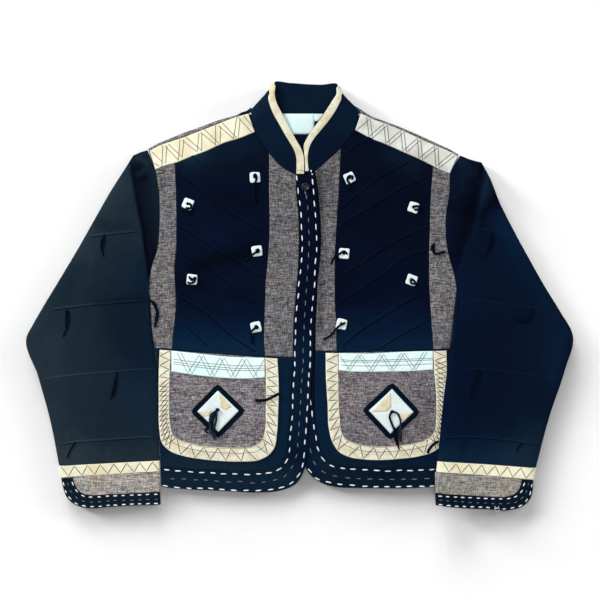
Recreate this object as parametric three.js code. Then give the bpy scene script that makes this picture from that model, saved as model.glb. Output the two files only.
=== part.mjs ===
// Cropped western jacket, laid flat on its back with the front edges closed at the neck.
// Frame in millimetres: +X across the jacket, +Y from hem to neck, +Z up out of the surface
// it lies on. The origin is under the middle of the jacket, on that surface.
// Every piece of cloth is a wall: a grid of points worked out from the section tables below,
// given a thickness and closed round its rim. Pieces sewn edge to edge share section rows,
// and pieces that lie on a panel take that panel's height and stand off it.
import * as THREE from "three";
import { mergeVertices } from "three/addons/utils/BufferGeometryUtils.js";

// ---------------------------------------------------------------- driving sizes
const CLOTH = 1.2; // main cotton cloth
const TRIM = 1.0; // tweed, cream and white trim cloth
const COLLAR_CLOTH = 1.6; // collar, two layers pressed together
const SEAM = 0.3; // gap kept at every seam
const HALF = 0.17; // each side's share of a seam gap, a little more on slanted seams
const FRONT_Z = CLOTH + SEAM; // underside of the fronts, over the back
const ON_FRONT = FRONT_Z + CLOTH + SEAM; // underside of what lies on the fronts
const ON_POCKET = ON_FRONT + TRIM + SEAM; // underside of what lies on the pockets
const PUFF = 2.0; // how far the fronts rise off the back in the middle of a panel
const BAND_WIDTH = 31; // stitched edge band
const HIDDEN_BAND = 22.6; // right edge band where the left one covers it
const LAP = CLOTH + SEAM + 0.35; // left edge band's lift over the right one
const SLEEVE_LIFT = 6.3; // right sleeve's lift where it laps over the body and pocket
const SQUARE = 16; // side of a tied square
const BUTTON_R = 6.5;
const YARN = 2.2; // thickness of a yarn end
const HEM_Y = -266.2; // height of the hem band's upper edge, mean

// ---------------------------------------------------------------- section tables
const table = (names, ...rows) =>
  rows.map((row) => Object.fromEntries(names.split(" ").map((n, i) => [n, row[i]])));
const clamp = (v, a = 0, b = 1) => Math.min(b, Math.max(a, v));
const lerp = (a, b, t) => a + (b - a) * t;
const smooth = (t) => { t = clamp(t); return t * t * (3 - 2 * t); };
// column `to` of a table at the place where column `from` is v
const column = (rows, from, to) => (v) => {
  const up = rows[rows.length - 1][from] > rows[0][from];
  let i = 1;
  while (i < rows.length - 1 && (up ? rows[i][from] < v : rows[i][from] > v)) i++;
  const a = rows[i - 1], b = rows[i];
  return lerp(a[to], b[to], clamp((v - a[from]) / (b[from] - a[from])));
};

// Each front in horizontal sections from shoulder to chest seam: the armhole or side edge and
// the seams between outer strip (a), chest panel (b), inner strip (c) and edge band.
const FRONT = {
  left: table("y side a b c",
    [226.7, -235.1, -193.8, -48.1, -6.2],
    [196.3, -224.4, -193.8, -48.1, -6.2],
    [164.7, -219.2, -192.2, -48.1, -5.6],
    [125.9, -217.8, -191.4, -47.6, -2.3],
    [99.6, -218.6, -191.4, -47.4, -1.6],
    [71.7, -221.7, -191.7, -48.8, -1.6],
    [48.4, -229.4, -194.4, -50.7, -2.5],
    [19, -235.6, -193.6, -53.3, -5],
    [-5.8, -232.8, -192, -54.2, -7],
    [-36.8, -231, -194.1, -55.2, -9.3],
    [-60.1, -228.8, -196.8, -55.8, -10.4],
    [-86.4, -224.4, -198.4, -54.6, -10.8]),
  right: table("y side a b c",
    [226.7, 248.3, 206.2, 63.6, 23.2],
    [190.1, 232.7, 206.2, 63.6, 23.2],
    [164.7, 232.2, 203.5, 60.5, 27.9],
    [125.9, 226.8, 201.5, 57.7, 31],
    [99.6, 226.3, 201.2, 56.3, 32.6],
    [71.7, 229.4, 200, 54.6, 32.1],
    [48.4, 235, 200, 54.2, 30.1],
    [19, 243.7, 200, 54.2, 26.7],
    [-5.8, 241.5, 201.5, 54.2, 26.4],
    [-36.8, 237.6, 203.5, 55.8, 24.6],
    [-60.1, 234.8, 205.1, 56.6, 24.2],
    [-83.3, 232.3, 206.9, 57.4, 24]),
};
// The line along the shoulder band's lower edge and the neck seam: the fronts' upper edge.
const TOP = {
  left: table("x y",
    [-224.8, 196.3], [-209.2, 202.4], [-193.8, 206.5], [-170.5, 215.8], [-147.2, 224.4],
    [-116.2, 238.3], [-93, 245.3], [-69.8, 254.6], [-59.7, 238.3], [-48.1, 222],
    [-30.2, 202.7], [-14, 192.1], [-6.2, 188.6]),
  right: table("x y",
    [232.5, 190.1], [219.3, 195.2], [206.2, 201.9], [186, 212], [162.8, 222.3],
    [131.8, 236], [108.5, 245.3], [85.2, 257.7], [74.4, 243.7], [63.6, 229.8],
    [46.5, 214.3], [31.8, 201.1], [23.2, 194.1]),
};
// The chest seam, from the side to the edge band.
const CHEST_SEAM = {
  left: table("x y", [-225.5, -80.2], [-198.4, -81.8], [-147.2, -88], [-99.2, -91.8], [-54.2, -92.6], [-10.8, -94.5]),
  right: table("x y", [232.5, -81.1], [206.9, -82.4], [147.2, -84.6], [108.5, -86.4], [57.4, -85.5], [24, -84.2]),
};
// Where each chest piece's columns stand between its two seams.
const STRIP_COLUMNS = [0, 0.5, 1];
const PANEL_COLUMNS = { left: [0, 0.16, 0.319, 0.532, 0.691, 0.851, 0.92, 1], right: [0, 0.141, 0.304, 0.522, 0.685, 0.848, 0.924, 1] };
const INNER_COLUMNS = { left: [0, 0.426, 0.815, 1], right: [0, 0.423, 0.788, 1] };
// The lower front's side seam and its edge along the band, by height.
const LOWER = {
  left: table("y side c",
    [-80.2, -225.4, -10.8], [-115.9, -220.3, -12.4], [-160.8, -219.8, -14.9],
    [-199.6, -219, -17.1], [-233.7, -217.8, -20.2], [-264.7, -216.5, -21.7], [-298.8, -214.2, -21.7]),
  right: table("y side c",
    [-80.2, 232.3, 24], [-115.9, 231.6, 22.9], [-160.8, 231, 22.9],
    [-199.6, 230.6, 25.3], [-222.8, 230.6, 28.7], [-264.7, 231, 29.4], [-298.8, 231.6, 29.4]),
};
// The lower front's bottom edge, one row for each of its columns from side to edge band.
const LOWER_EDGE = {
  left: table("x y", [-216.5, -264.7], [-207.7, -265.4], [-193.8, -266.8], [-170.5, -268.5], [-147.2, -269.6], [-120.9, -270.9],
    [-97.7, -271.6], [-74.4, -271.9], [-58.9, -271.2], [-46.5, -269.3], [-32.6, -262.3], [-24, -249.2], [-20.2, -233.7]),
  right: table("x y", [231, -263.9], [218.6, -264.4], [201.5, -265.1], [181.3, -266.2], [158.1, -267], [134.8, -267],
    [108.5, -266.2], [85.2, -265.1], [66.7, -263.6], [51.1, -259.2], [40.3, -251.5], [33.3, -239.1], [28.7, -222.8]),
};
const CORNER_WIDTH = { left: [0, 0, 0, 0, 0, 0, 0.3, 1, 1.3, 2.5, 5, 2.8, 0.6], right: [0, 0, 0, 0, 0, 0, 0.3, 0.8, 1.5, 2.5, 2.5, 0.7, 0] }; // band's extra width round its corner, in 1.55 mm
// Shoulder bands: upper edge above each of the top line's shoulder columns, and the shoulder
// fold beyond it, which the back's tweed strip turns over.
const SHOULDER = {
  left: table("x y foldX foldY", [-233.6, 225.8, -235.9, 228.7], [-217, 234.4, -218.6, 237.8], [-200, 240.3, -201.5, 244.8],
    [-176.7, 248.1, -178.2, 254.6], [-153.5, 257.2, -155, 262.6], [-124, 268.8, -125.5, 273.5], [-101.5, 277.5, -102.3, 280], [-79.7, 283.4, -93, 282.5]),
  right: table("x y foldX foldY", [245.2, 217.4, 246.5, 220.2], [230.2, 225.8, 231, 228.5], [215.5, 231.8, 217, 235.1],
    [193.8, 241.1, 195.3, 245], [169, 252.7, 170.5, 256.1], [138, 265.9, 139.5, 268.7], [115.5, 274.1, 116.2, 276.9], [93.6, 284, 110, 279.1]),
};
// Collar stations from front end to side fold: the neck seam (s), the upper edge (t) and
// how high the middle of the cloth stands there.
const COLLAR = {
  left: table("sx sy tx ty sz tz",
    [5.6, 189.3, 5.3, 212.7, 3.6, 4.2], [-5.9, 189.5, 3.6, 222.8, 2.9, 4.4],
    [-14, 193.1, -0.6, 233.2, 2.5, 4.8], [-29.8, 203.4, -9.8, 249.9, 2.3, 5.8],
    [-47.4, 223, -19.2, 265.7, 2.3, 6.8], [-58.9, 239.1, -27.9, 281.7, 2.3, 7.7],
    [-68.7, 255.5, -35.3, 295.7, 2.4, 8.5], [-73.9, 273.2, -38.8, 312.6, 2.6, 9]),
  right: table("sx sy tx ty sz tz",
    [9.9, 192.4, 9, 212.7, 2.6, 3.6], [20.6, 194.3, 6.8, 225.9, 2.3, 4.0],
    [31.3, 202, 9, 237.5, 2.3, 4.6], [45.9, 215.1, 17.1, 253.8, 2.3, 5.6],
    [62.9, 230.6, 26.7, 269.3, 2.3, 6.6], [73.8, 244.5, 38.1, 284.8, 2.3, 7.5],
    [84.2, 258.3, 47.4, 298.6, 2.4, 8.4], [89, 272.4, 56.4, 312.6, 2.6, 9]),
};
// The collar's side folds: outermost points at the neck seam and at the upper edge.
const COLLAR_FOLD = { left: { s: [-78.4, 286.8], t: [-45, 327.7], bow: 1.9 }, right: { s: [93.6, 285.9], t: [62.3, 325.3], bow: 2.9 } };
// The collar's back part between the folds: neck seam and upper edge.
const COLLAR_BACK = table("sx sy tx ty",
  [-58.9, 284.7, -36.3, 329.9], [-27.9, 284, -14, 330.8], [7.8, 283.7, 9.3, 329], [43.4, 284, 32.6, 328.1], [74.4, 284.7, 54.2, 326.8]);
const BINDING_WIDTH = 10.8;
// The binding up the collar's front, from its front end to the side fold: its outer and inner edge.
const BINDING = {
  left: table("ox oy ix iy",
    [-5.6, 189.5, 6.2, 189.5], [-5.3, 201.9, 6.5, 200.3], [-5.9, 215.8, 6.2, 213.7], [-9.6, 227.3, 1.9, 228.5],
    [-15.5, 237.2, -4.3, 239.1], [-23.2, 249.9, -12.7, 254], [-31.9, 265.4, -21.1, 269.5], [-40, 279.4, -29.1, 285],
    [-46.2, 294, -35.6, 298], [-49, 307.3, -39.1, 311.9]),
  right: table("ox oy ix iy",
    [13.6, 194.1, 8.2, 193.5], [12.1, 208.1, 8.1, 206.5], [12.7, 222.8, 6.5, 222.8], [16.1, 234.4, 5.9, 233.8],
    [22.6, 245, 11.8, 246.2], [31.3, 255.5, 20.8, 259.5], [41.9, 268.2, 31.6, 273.8], [52.1, 282.2, 41.5, 288.7],
    [59.8, 295.2, 50.5, 302.9], [64.5, 306.4, 56.7, 311.9]),
};
// Sleeves in sections from armhole to wrist: a point on the outer edge (o), a point on the
// inner edge (i), the rounding radius of both edges, the extra height in the middle, and the
// share of the armhole's curve that the section still has.
const SLEEVE = {
  left: table("ox oy ix iy r full curve",
    [-236.7, 226.7, -236.1, 19, 1.35, 0, 1], [-247.4, 223.3, -234.8, 6.6, 1.6, 0.3, 0.6], [-258.5, 218.3, -233.6, -5.8, 1.9, 0.6, 0.25],
    [-269.1, 201, -232.8, -16.7, 2, 0.7, 0.1],
    [-291.4, 166.2, -231.9, -30.6, 2.1, 0.8, 0], [-317.8, 120.5, -229.2, -60.1, 2.1, 0.9, 0], [-344.1, 74, -226, -80.2, 2.1, 0.9, 0],
    [-370.4, 29.8, -223.4, -98, 2.1, 0.9, 0], [-396.8, -13.6, -220.7, -115.9, 2.1, 0.9, 0], [-414.6, -44.6, -220.6, -132.9, 2.1, 0.9, 0],
    [-423.6, -61.6, -220.3, -160.8, 2.1, 0.9, 0], [-406.1, -123.6, -219.5, -199.6, 2.1, 0.8, 0], [-387.5, -191.8, -218.6, -229, 2, 0.6, 0],
    [-373.6, -262.5, -217.8, -254.1, 1.8, 0.2, 0]),
  right: table("ox oy ix iy r full curve",
    [248.6, 218.6, 244.1, 17.4, 1.35, 0, 1], [265.1, 211.8, 243.2, 5, 1.6, 0.3, 0.6], [281.3, 207.6, 242, -7.4, 1.9, 0.6, 0.25],
    [292.9, 186.4, 239.9, -22.9, 2.1, 0.8, 0], [309.2, 146.1, 237, -46.1, 2.1, 0.9, 0], [328.6, 107.3, 234.1, -70.9, 2.1, 0.9, 0],
    [353.4, 61.6, 231.4, -86.4, 2.1, 0.9, 0], [378.2, 17.4, 228.2, -105, 2.1, 0.9, 0], [403, -22.9, 226, -125.2, 2.1, 0.9, 0],
    [423.2, -60.8, 221.7, -160.8, 2.1, 0.9, 0], [410.8, -114.3, 218.6, -188.7, 2.1, 0.8, 0], [387.5, -184.1, 215.5, -222.8, 2, 0.6, 0],
    [365.8, -265.6, 212.3, -254.1, 1.8, 0.2, 0]),
};
// The soft fold that runs down from each sleeve head to the underarm.
const HEAD_FOLD = {
  left: table("x y", [-261.9, 211.2], [-258.9, 172.4], [-249.6, 125.9], [-240.2, 71.7], [-234.1, 25.2]),
  right: table("x y", [283.7, 198.8], [275.9, 161.6], [263.5, 115.1], [254.2, 79.4], [248, 40.7]),
};
// Cuffs: cream band corners (outer upper, inner upper, outer lower, inner lower), then the
// tweed's lower edge with the edge band's outer line beside it, from the open outer corner in.
const CUFF = {
  left: {
    cream: table("ox oy ix iy", [-373.4, -263.1, -217.8, -254.7], [-370.4, -280.6, -217.3, -271.2]),
    edge: table("ix iy ox oy", [-352.6, -282.3, -370.1, -281.7], [-348.8, -292.6, -367.4, -295.7], [-342.6, -301.9, -361.2, -311.9], [-334, -307, -350.3, -322],
      [-323.9, -308.4, -329.4, -328.2], [-294.5, -307, -294.5, -326.4], [-260.4, -305.7, -260.4, -324.5], [-232.5, -304.2, -231, -323.6]),
    end: [-217, -303.4, -216.1, -323.1],
  },
  right: {
    cream: table("ox oy ix iy", [365.8, -266.4, 212.2, -254.9], [362.1, -284.2, 210.3, -270.9]),
    edge: table("ix iy ox oy", [344.1, -284.2, 361.6, -285.3], [342.2, -292.6, 360.8, -300.3], [338.7, -301.1, 356.5, -314.3], [331.7, -307.4, 347.2, -324.3],
      [320.9, -310.7, 326.3, -331.3], [289.9, -310.4, 289.9, -330.1], [255.8, -308.1, 255.8, -328.5], [224.8, -305.6, 225.5, -325.1]),
    end: [208.6, -304, 209.7, -322.9],
  },
};
// Pockets: outline stations from one mouth corner round the bottom to the other: the
// border's inner edge (i) and outer edge (o).
const POCKET = {
  left: table("ix iy ox oy", [-200, -84.1, -217.3, -83], [-201.5, -115.9, -218.7, -115.9], [-202.3, -160.8, -218.7, -160.8], [-200.7, -199.6, -217.5, -208.9],
    [-197.6, -212, -214.4, -225.9], [-191.4, -219.7, -206.9, -235.5], [-182.9, -223.6, -196.8, -242.2], [-170.5, -227.5, -179.8, -247.6], [-147.2, -232.1, -150.3, -252.7],
    [-124, -233.7, -124, -255.1], [-93, -234.4, -88.4, -256.1], [-74.4, -232.9, -63.6, -253.8], [-63.6, -227.5, -49.6, -246.8], [-57.4, -219.7, -40.3, -236],
    [-54.2, -207.3, -35.6, -212], [-53, -176.3, -33.8, -179.4], [-52.7, -137.6, -32.9, -137.6], [-53.5, -95.4, -34.9, -96.3]),
  right: table("ix iy ox oy", [206.6, -84.9, 226.9, -84.2], [207.7, -114.3, 227.8, -115.9], [210.8, -153.1, 227.8, -157.7], [210.8, -188.7, 227.8, -191.8],
    [209.2, -205.8, 227.1, -216.6], [203.8, -215.8, 218.6, -232.1], [195.3, -222, 203.8, -242.2], [179.8, -227, 186, -247.6], [155, -230.9, 158.1, -251.5],
    [124, -232.9, 124, -253.8], [102.3, -231.5, 97.7, -252.7], [83.7, -226.7, 76.7, -249.2], [71.3, -220.2, 60.5, -241.1], [64.8, -211.2, 50.5, -226.7],
    [62, -191.8, 44.6, -204.2], [60, -160.8, 42.8, -168.6], [59.5, -129.8, 40.3, -129.8], [58.9, -88.3, 39.7, -87.7]),
};
const POCKET_TOP = {
  left: table("x top bottom", [-199, -84.2, -116.3], [-170.5, -87.3, -120.8], [-139.5, -90.8, -124.4], [-99.2, -94.2, -127.3], [-77.5, -94.8, -127.3], [-54.6, -95.4, -125.5]),
  right: table("x top bottom", [205.8, -84.9, -113.4], [170.5, -85.5, -115.9], [139.5, -87, -116.5], [108.5, -88.6, -116.8], [80.6, -88.3, -116.6], [60, -88, -114.6]),
};
// Diamonds: centre, half diagonals of the frame outside and inside, and turn in degrees.
const DIAMOND = {
  left: { x: -126.8, y: -177.7, outer: 42.2, inner: 32.7, turn: 0.8 },
  right: { x: 141.1, y: -177.9, outer: 44.8, inner: 35.3, turn: -2 },
};
const SQUARES = table("name x y turn",
  ["l1", -69.8, 184.1, 3], ["l2", -173.6, 143, -22], ["l3", -66.7, 70.1, 8], ["l4", -167.4, 26, -5], ["l5", -68.2, -47.7, 12],
  ["r1", 76.7, 183.3, 25], ["r2", 175.9, 137.6, -18], ["r3", 68.2, 66.3, -5], ["r4", 172.8, 25.2, -20], ["r5", 64.3, -43, -12]);
const LABEL = { x0: -35.6, x1: 21.4, y0: 251.5, y1: 281.2 };
const TAB = { x0: 22.2, x1: 37.2, y0: 271.6, y1: 280.9 };
const BUTTON = { x: 8.5, y: 169.3 };
// Yarn ends: start, bend and free end.
const YARN_ENDS = table("name x1 y1 x2 y2 x3 y3",
  ["tie_sleeve_left_1", -302.2, 96.5, -307.5, 82.5, -303.8, 60.8],
  ["tie_sleeve_left_2", -359.6, -21.3, -358.1, -39.9, -366.6, -63.2],
  ["tie_sleeve_left_3", -282.1, -115.9, -287.5, -136, -292.9, -160.8],
  ["tie_strip_left", -228.2, -8.9, -220.9, -24.4, -225.4, -49.2],
  ["tie_sleeve_right_1", 297.6, 99.6, 292.9, 81, 286.8, 60.8],
  ["tie_sleeve_right_2", 359.6, -19.8, 349.5, -38.4, 327.1, -32.9],
  ["tie_sleeve_right_3", 277.4, -115.9, 268.9, -134.5, 261.9, -156.2],
  ["tie_strip_right", 207.1, 81.6, 208.5, 66.1, 226.3, 70.1]);
const TASSEL = { left: table("x y", [-129.4, -177.9], [-137.2, -184.1], [-140.3, -201.1], [-132.5, -221.3]), right: table("x y", [139.5, -178.6], [150.3, -183.3], [148, -204.2], [152.7, -235.2]) };

// ---------------------------------------------------------------- materials
const mat = (r, g, b, roughness) => new THREE.MeshStandardMaterial({ color: new THREE.Color().setRGB(r, g, b, THREE.SRGBColorSpace), roughness, metalness: 0 });
const NAVY = mat(0.06, 0.09, 0.15, 0.9);
const INDIGO = mat(0.05, 0.07, 0.14, 0.9);
const BAND = mat(0.05, 0.06, 0.1, 0.92);
const TWEED = mat(0.5, 0.46, 0.45, 0.95);
const CREAM = mat(0.93, 0.86, 0.7, 0.85);
const WHITE = mat(0.9, 0.92, 0.93, 0.8);
const YARN_BLACK = mat(0.04, 0.04, 0.07, 0.95);
const BUTTON_BLACK = mat(0.05, 0.05, 0.06, 0.35);

// ---------------------------------------------------------------- makers
const jacket = new THREE.Group();
function closed(name, points, triangles, material) {
  let volume = 0;
  const p = points;
  for (const [a, b, c] of triangles)
    volume += p[a][0] * (p[b][1] * p[c][2] - p[c][1] * p[b][2]) - p[a][1] * (p[b][0] * p[c][2] - p[c][0] * p[b][2]) + p[a][2] * (p[b][0] * p[c][1] - p[c][0] * p[b][1]);
  const faces = volume < 0 ? triangles.map(([a, b, c]) => [a, c, b]) : triangles;
  const geometry = new THREE.BufferGeometry()
    .setAttribute("position", new THREE.Float32BufferAttribute(points.flat(), 3))
    .setIndex(faces.flat());
  geometry.computeVertexNormals();
  const mesh = new THREE.Mesh(geometry, material);
  mesh.name = name;
  jacket.add(mesh);
}
const quad = (list, a, b, c, d) => list.push([a, b, c], [a, c, d]);
// a sheet of middle points with a thickness, upright or along its own normals
function wall(name, grid, thickness, material, upright = true) {
  const R = grid.length, C = grid[0].length, points = [], triangles = [];
  const at = (r, c) => grid[clamp(r, 0, R - 1)][clamp(c, 0, C - 1)];
  const normals = grid.map((row, r) => row.map((_, c) => {
    if (upright) return [0, 0, 1];
    const u = new THREE.Vector3(...at(r, c + 1)).sub(new THREE.Vector3(...at(r, c - 1)));
    const v = new THREE.Vector3(...at(r + 1, c)).sub(new THREE.Vector3(...at(r - 1, c)));
    return u.cross(v).normalize().toArray();
  }));
  for (const side of [1, -1])
    grid.forEach((row, r) => row.forEach((p, c) => points.push(p.map((v, i) => v + (side * thickness / 2) * normals[r][c][i]))));
  const N = R * C, id = (r, c, s) => s * N + r * C + c;
  for (let r = 0; r < R - 1; r++)
    for (let c = 0; c < C - 1; c++) {
      quad(triangles, id(r, c, 0), id(r, c + 1, 0), id(r + 1, c + 1, 0), id(r + 1, c, 0));
      quad(triangles, id(r, c, 1), id(r + 1, c, 1), id(r + 1, c + 1, 1), id(r, c + 1, 1));
    }
  const rim = [];
  for (let c = 0; c < C - 1; c++) rim.push([0, c]);
  for (let r = 0; r < R - 1; r++) rim.push([r, C - 1]);
  for (let c = C - 1; c > 0; c--) rim.push([R - 1, c]);
  for (let r = R - 1; r > 0; r--) rim.push([r, 0]);
  rim.forEach(([r, c], i) => {
    const [r2, c2] = rim[(i + 1) % rim.length];
    quad(triangles, id(r2, c2, 0), id(r, c, 0), id(r, c, 1), id(r2, c2, 1));
  });
  closed(name, points, triangles, material);
}
// an open-ended tube from rings of outer and inner points
function sleeveTube(name, outer, inner, material) {
  const J = outer.length, K = outer[0].length, points = [...outer.flat(), ...inner.flat()], triangles = [];
  const id = (j, k, s) => s * J * K + j * K + (k % K);
  for (let j = 0; j < J - 1; j++)
    for (let k = 0; k < K; k++) {
      quad(triangles, id(j, k, 0), id(j, k + 1, 0), id(j + 1, k + 1, 0), id(j + 1, k, 0));
      quad(triangles, id(j, k, 1), id(j + 1, k, 1), id(j + 1, k + 1, 1), id(j, k + 1, 1));
    }
  for (let k = 0; k < K; k++) {
    quad(triangles, id(0, k + 1, 0), id(0, k, 0), id(0, k, 1), id(0, k + 1, 1));
    quad(triangles, id(J - 1, k, 0), id(J - 1, k + 1, 0), id(J - 1, k + 1, 1), id(J - 1, k, 1));
  }
  closed(name, points, triangles, material);
}
// a flat outline, with or without a hole, laid on a surface of the given height
function plate(name, outline, hole, height, thickness, material) {
  const shape = new THREE.Shape(outline.map(([x, y]) => new THREE.Vector2(x, y)));
  if (hole) shape.holes.push(new THREE.Path(hole.map(([x, y]) => new THREE.Vector2(x, y))));
  let g = new THREE.ExtrudeGeometry(shape, { depth: 1, bevelEnabled: false, steps: 1 });
  g.deleteAttribute("normal");
  g.deleteAttribute("uv");
  g = mergeVertices(g, 1e-4);
  const p = g.attributes.position;
  for (let i = 0; i < p.count; i++) p.setZ(i, height(p.getX(i), p.getY(i)) + (p.getZ(i) > 0.5 ? thickness : 0));
  g.computeVertexNormals();
  const mesh = new THREE.Mesh(g, material);
  mesh.name = name;
  jacket.add(mesh);
}
function yarn(name, path, diameter, material, steps) {
  const section = new THREE.Shape(Array.from({ length: 6 }, (_, i) => new THREE.Vector2(Math.cos((i * Math.PI) / 3), Math.sin((i * Math.PI) / 3)).multiplyScalar(diameter / 2)));
  let g = new THREE.ExtrudeGeometry(section, { steps, bevelEnabled: false, extrudePath: new THREE.CatmullRomCurve3(path.map((p) => new THREE.Vector3(...p))) });
  g.deleteAttribute("normal");
  g.deleteAttribute("uv");
  g = mergeVertices(g, 1e-4);
  g.computeVertexNormals();
  const mesh = new THREE.Mesh(g, material);
  mesh.name = name;
  jacket.add(mesh);
}

// ---------------------------------------------------------------- surfaces
const sideOf = (hand) => {
  const upper = column(FRONT[hand], "y", "side"), lower = column(LOWER[hand], "y", "side"), from = LOWER[hand][0].y;
  return (y) => (y > from ? upper(y) : lower(y));
};
const edgeOf = (hand) => {
  const upper = column(FRONT[hand], "y", "c"), lower = column(LOWER[hand], "y", "c"), from = FRONT[hand][FRONT[hand].length - 1].y;
  return (y) => (y > from ? upper(y) : lower(y));
};
const SIDE = { left: sideOf("left"), right: sideOf("right") }, EDGE = { left: edgeOf("left"), right: edgeOf("right") };
const TOP_Y = { left: column(TOP.left, "x", "y"), right: column(TOP.right, "x", "y") };
// how far the fronts stand off the back: a low cushion of air in the middle of each front
function puff(x, y) {
  const hand = x < (EDGE.left(y) + EDGE.right(y)) / 2 ? "left" : "right";
  const across = Math.sin(Math.PI * clamp((x - SIDE[hand](y)) / (EDGE[hand](y) - SIDE[hand](y))));
  return PUFF * across * smooth((y - HEM_Y) / 95) * smooth((TOP_Y[hand](x) - y) / 95);
}
const frontMid = (x, y) => [x, y, FRONT_Z + CLOTH / 2 + puff(x, y)];

// ---------------------------------------------------------------- the fronts
const HANDS = [["left", 1], ["right", -1]]; // +1 where x grows from the side to the front edge
const seamRows = {};
for (const [hand, dir] of HANDS) {
  const rows = FRONT[hand].slice(2, -1), seam = column(CHEST_SEAM[hand], "x", "y"), top = TOP_Y[hand];
  const levels = [null, "mid", ...rows.map((r) => r.y), "seam"];
  const topRow = FRONT[hand][1], endRow = FRONT[hand][FRONT[hand].length - 1];
  // the point of a chest piece in row level and fraction f between two seams
  const pointAt = (level, s1, s2, f) => {
    let x, y;
    if (level === null) { x = lerp(topRow[s1], topRow[s2], f); y = top(x) - 0.24; }
    else if (level === "mid") {
      const below = rows[0];
      const x0 = lerp(topRow[s1], topRow[s2], f), x1 = lerp(below[s1], below[s2], f);
      x = (x0 + x1) / 2; y = (top(x0) + below.y) / 2;
    } else if (level === "seam") { x = lerp(endRow[s1], endRow[s2], f); y = seam(x) + 0.2; }
    else { const r = rows.find((q) => q.y === level); x = lerp(r[s1], r[s2], f); y = level; }
    return [x, y];
  };
  const piece = (name, s1, s2, columns, material) => {
    const grid = levels.map((level) => columns.map((f, i) => {
      const [x, y] = pointAt(level, s1, s2, f);
      const shift = i === 0 ? HALF * dir : i === columns.length - 1 ? -HALF * dir : 0;
      return frontMid(x + shift, y);
    }));
    wall(name, grid, CLOTH, material);
  };
  piece(`chest_strip_outer_${hand}`, "side", "a", STRIP_COLUMNS, TWEED);
  piece(`chest_panel_${hand}`, "a", "b", PANEL_COLUMNS[hand], INDIGO);
  piece(`chest_strip_inner_${hand}`, "b", "c", INNER_COLUMNS[hand], TWEED);

  // lower front, with the chest pieces' columns along the chest seam
  const upperXs = [
    ...STRIP_COLUMNS.map((f) => lerp(endRow.side, endRow.a, f)),
    ...PANEL_COLUMNS[hand].slice(1).map((f) => lerp(endRow.a, endRow.b, f)),
    ...INNER_COLUMNS[hand].slice(1).map((f) => lerp(endRow.b, endRow.c, f)),
  ];
  const E = LOWER_EDGE[hand], side = SIDE[hand], c = column(LOWER[hand], "y", "c");
  const n = E.length, w0 = upperXs[n - 1] - upperXs[0], w1 = E[n - 1].x - E[0].x;
  const lowerLevels = [null, 371, 400, 425, "mid", "edge"].map((v) => (typeof v === "number" ? (296.25 - v) * 1.55 : v));
  const lowerGrid = lowerLevels.map((level, r) => upperXs.map((_, k) => {
    const inset = k === 0 ? HALF * dir : k === n - 1 ? -HALF * dir : 0;
    const fTop = (upperXs[k] - upperXs[0]) / w0, fEnd = (E[k].x - E[0].x) / w1;
    if (level === null) return frontMid(upperXs[k] + inset, seam(upperXs[k]) - 0.2);
    if (level === "edge") return frontMid(E[k].x + inset, E[k].y + (k === n - 1 ? 0.1 : 0.22));
    const y425 = (296.25 - 425) * 1.55;
    const f = lerp(fTop, fEnd, r / 5);
    const at = (y) => lerp(side(y), c(y), f);
    if (level === "mid") { const x = (at(y425) + E[k].x) / 2; return frontMid(x + inset, (y425 + E[k].y) / 2); }
    return frontMid(at(level) + inset, level);
  }));
  wall(`lower_front_${hand}`, lowerGrid, CLOTH, NAVY);

  // edge band: its inner edge runs down the front edge and round along the lower front's edge
  const inner = [
    ...levels.map((level) => pointAt(level, "b", "c", 1)),
    ...lowerGrid.slice(1, 5).map((row) => [row[n - 1][0] + HALF * dir, row[n - 1][1]]),
    ...E.map((p) => [p.x, p.y]).reverse(),
  ];
  inner[levels.length - 1][1] -= 0.2;
  const extra = [...Array(inner.length - n).fill(0), ...CORNER_WIDTH[hand].map((v) => v * 1.55).reverse()];
  seamRows[hand] = inner.map(([x, y], i) => {
    const a = inner[Math.max(0, i - 1)], b = inner[Math.min(inner.length - 1, i + 1)];
    const len = Math.hypot(b[0] - a[0], b[1] - a[1]) || 1;
    // outward: away from the front, towards the free edge
    let nx = -(b[1] - a[1]) / len * dir, ny = ((b[0] - a[0]) / len) * dir;
    if (i < levels.length + 2) { nx = dir; ny = 0; }
    const w = hand === "right" && y > (296.25 - 400) * 1.55 ? lerp(HIDDEN_BAND, BAND_WIDTH, smooth(((296.25 - 372) * 1.55 - y) / 40)) : BAND_WIDTH;
    if (i === inner.length - 1) { nx = (SIDE[hand](y - BAND_WIDTH) + dir * HALF - x) / BAND_WIDTH; ny = -1; }
    return { x, y, nx, ny, w: w + extra[i] };
  });
}
// the right band's free edge, which the left band lies over
const freeEdge = (() => {
  const rows = seamRows.right.map((s) => ({ x: s.x + s.nx * s.w, y: s.y + s.ny * s.w })).slice(0, 23);
  return column(rows, "y", "x");
})();
const lapLift = (x, y) => {
  const ramp = lerp(Math.max(6, freeEdge(y) - EDGE.left(y)), 18, smooth(((296.25 - 415) * 1.55 - y) / 40));
  return LAP * clamp((x - freeEdge(y) + ramp + 0.6) / ramp);
};
for (const [hand, dir] of HANDS) {
  const columns = hand === "left" ? [0, 0.34, 0.62, 1] : [0, 0.5, 1];
  const grid = seamRows[hand].map((s, i) => columns.map((f) => {
    const d = f === 0 ? HALF : s.w * f;
    const x = s.x + s.nx * d, y = s.y + s.ny * d - (i === 0 ? 0.25 + (hand === "right" ? 5.6 * f : 0) : 0);
    const lift = hand === "left" ? (f === 0 ? Math.min(lapLift(x, y), 0.2) : lapLift(x, y)) : 0;
    return [x, y, FRONT_Z + CLOTH / 2 + (f === 0 ? puff(s.x, s.y) : 0) + lift];
  }));
  wall(`edge_band_${hand}`, grid, CLOTH, BAND);
}

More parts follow.
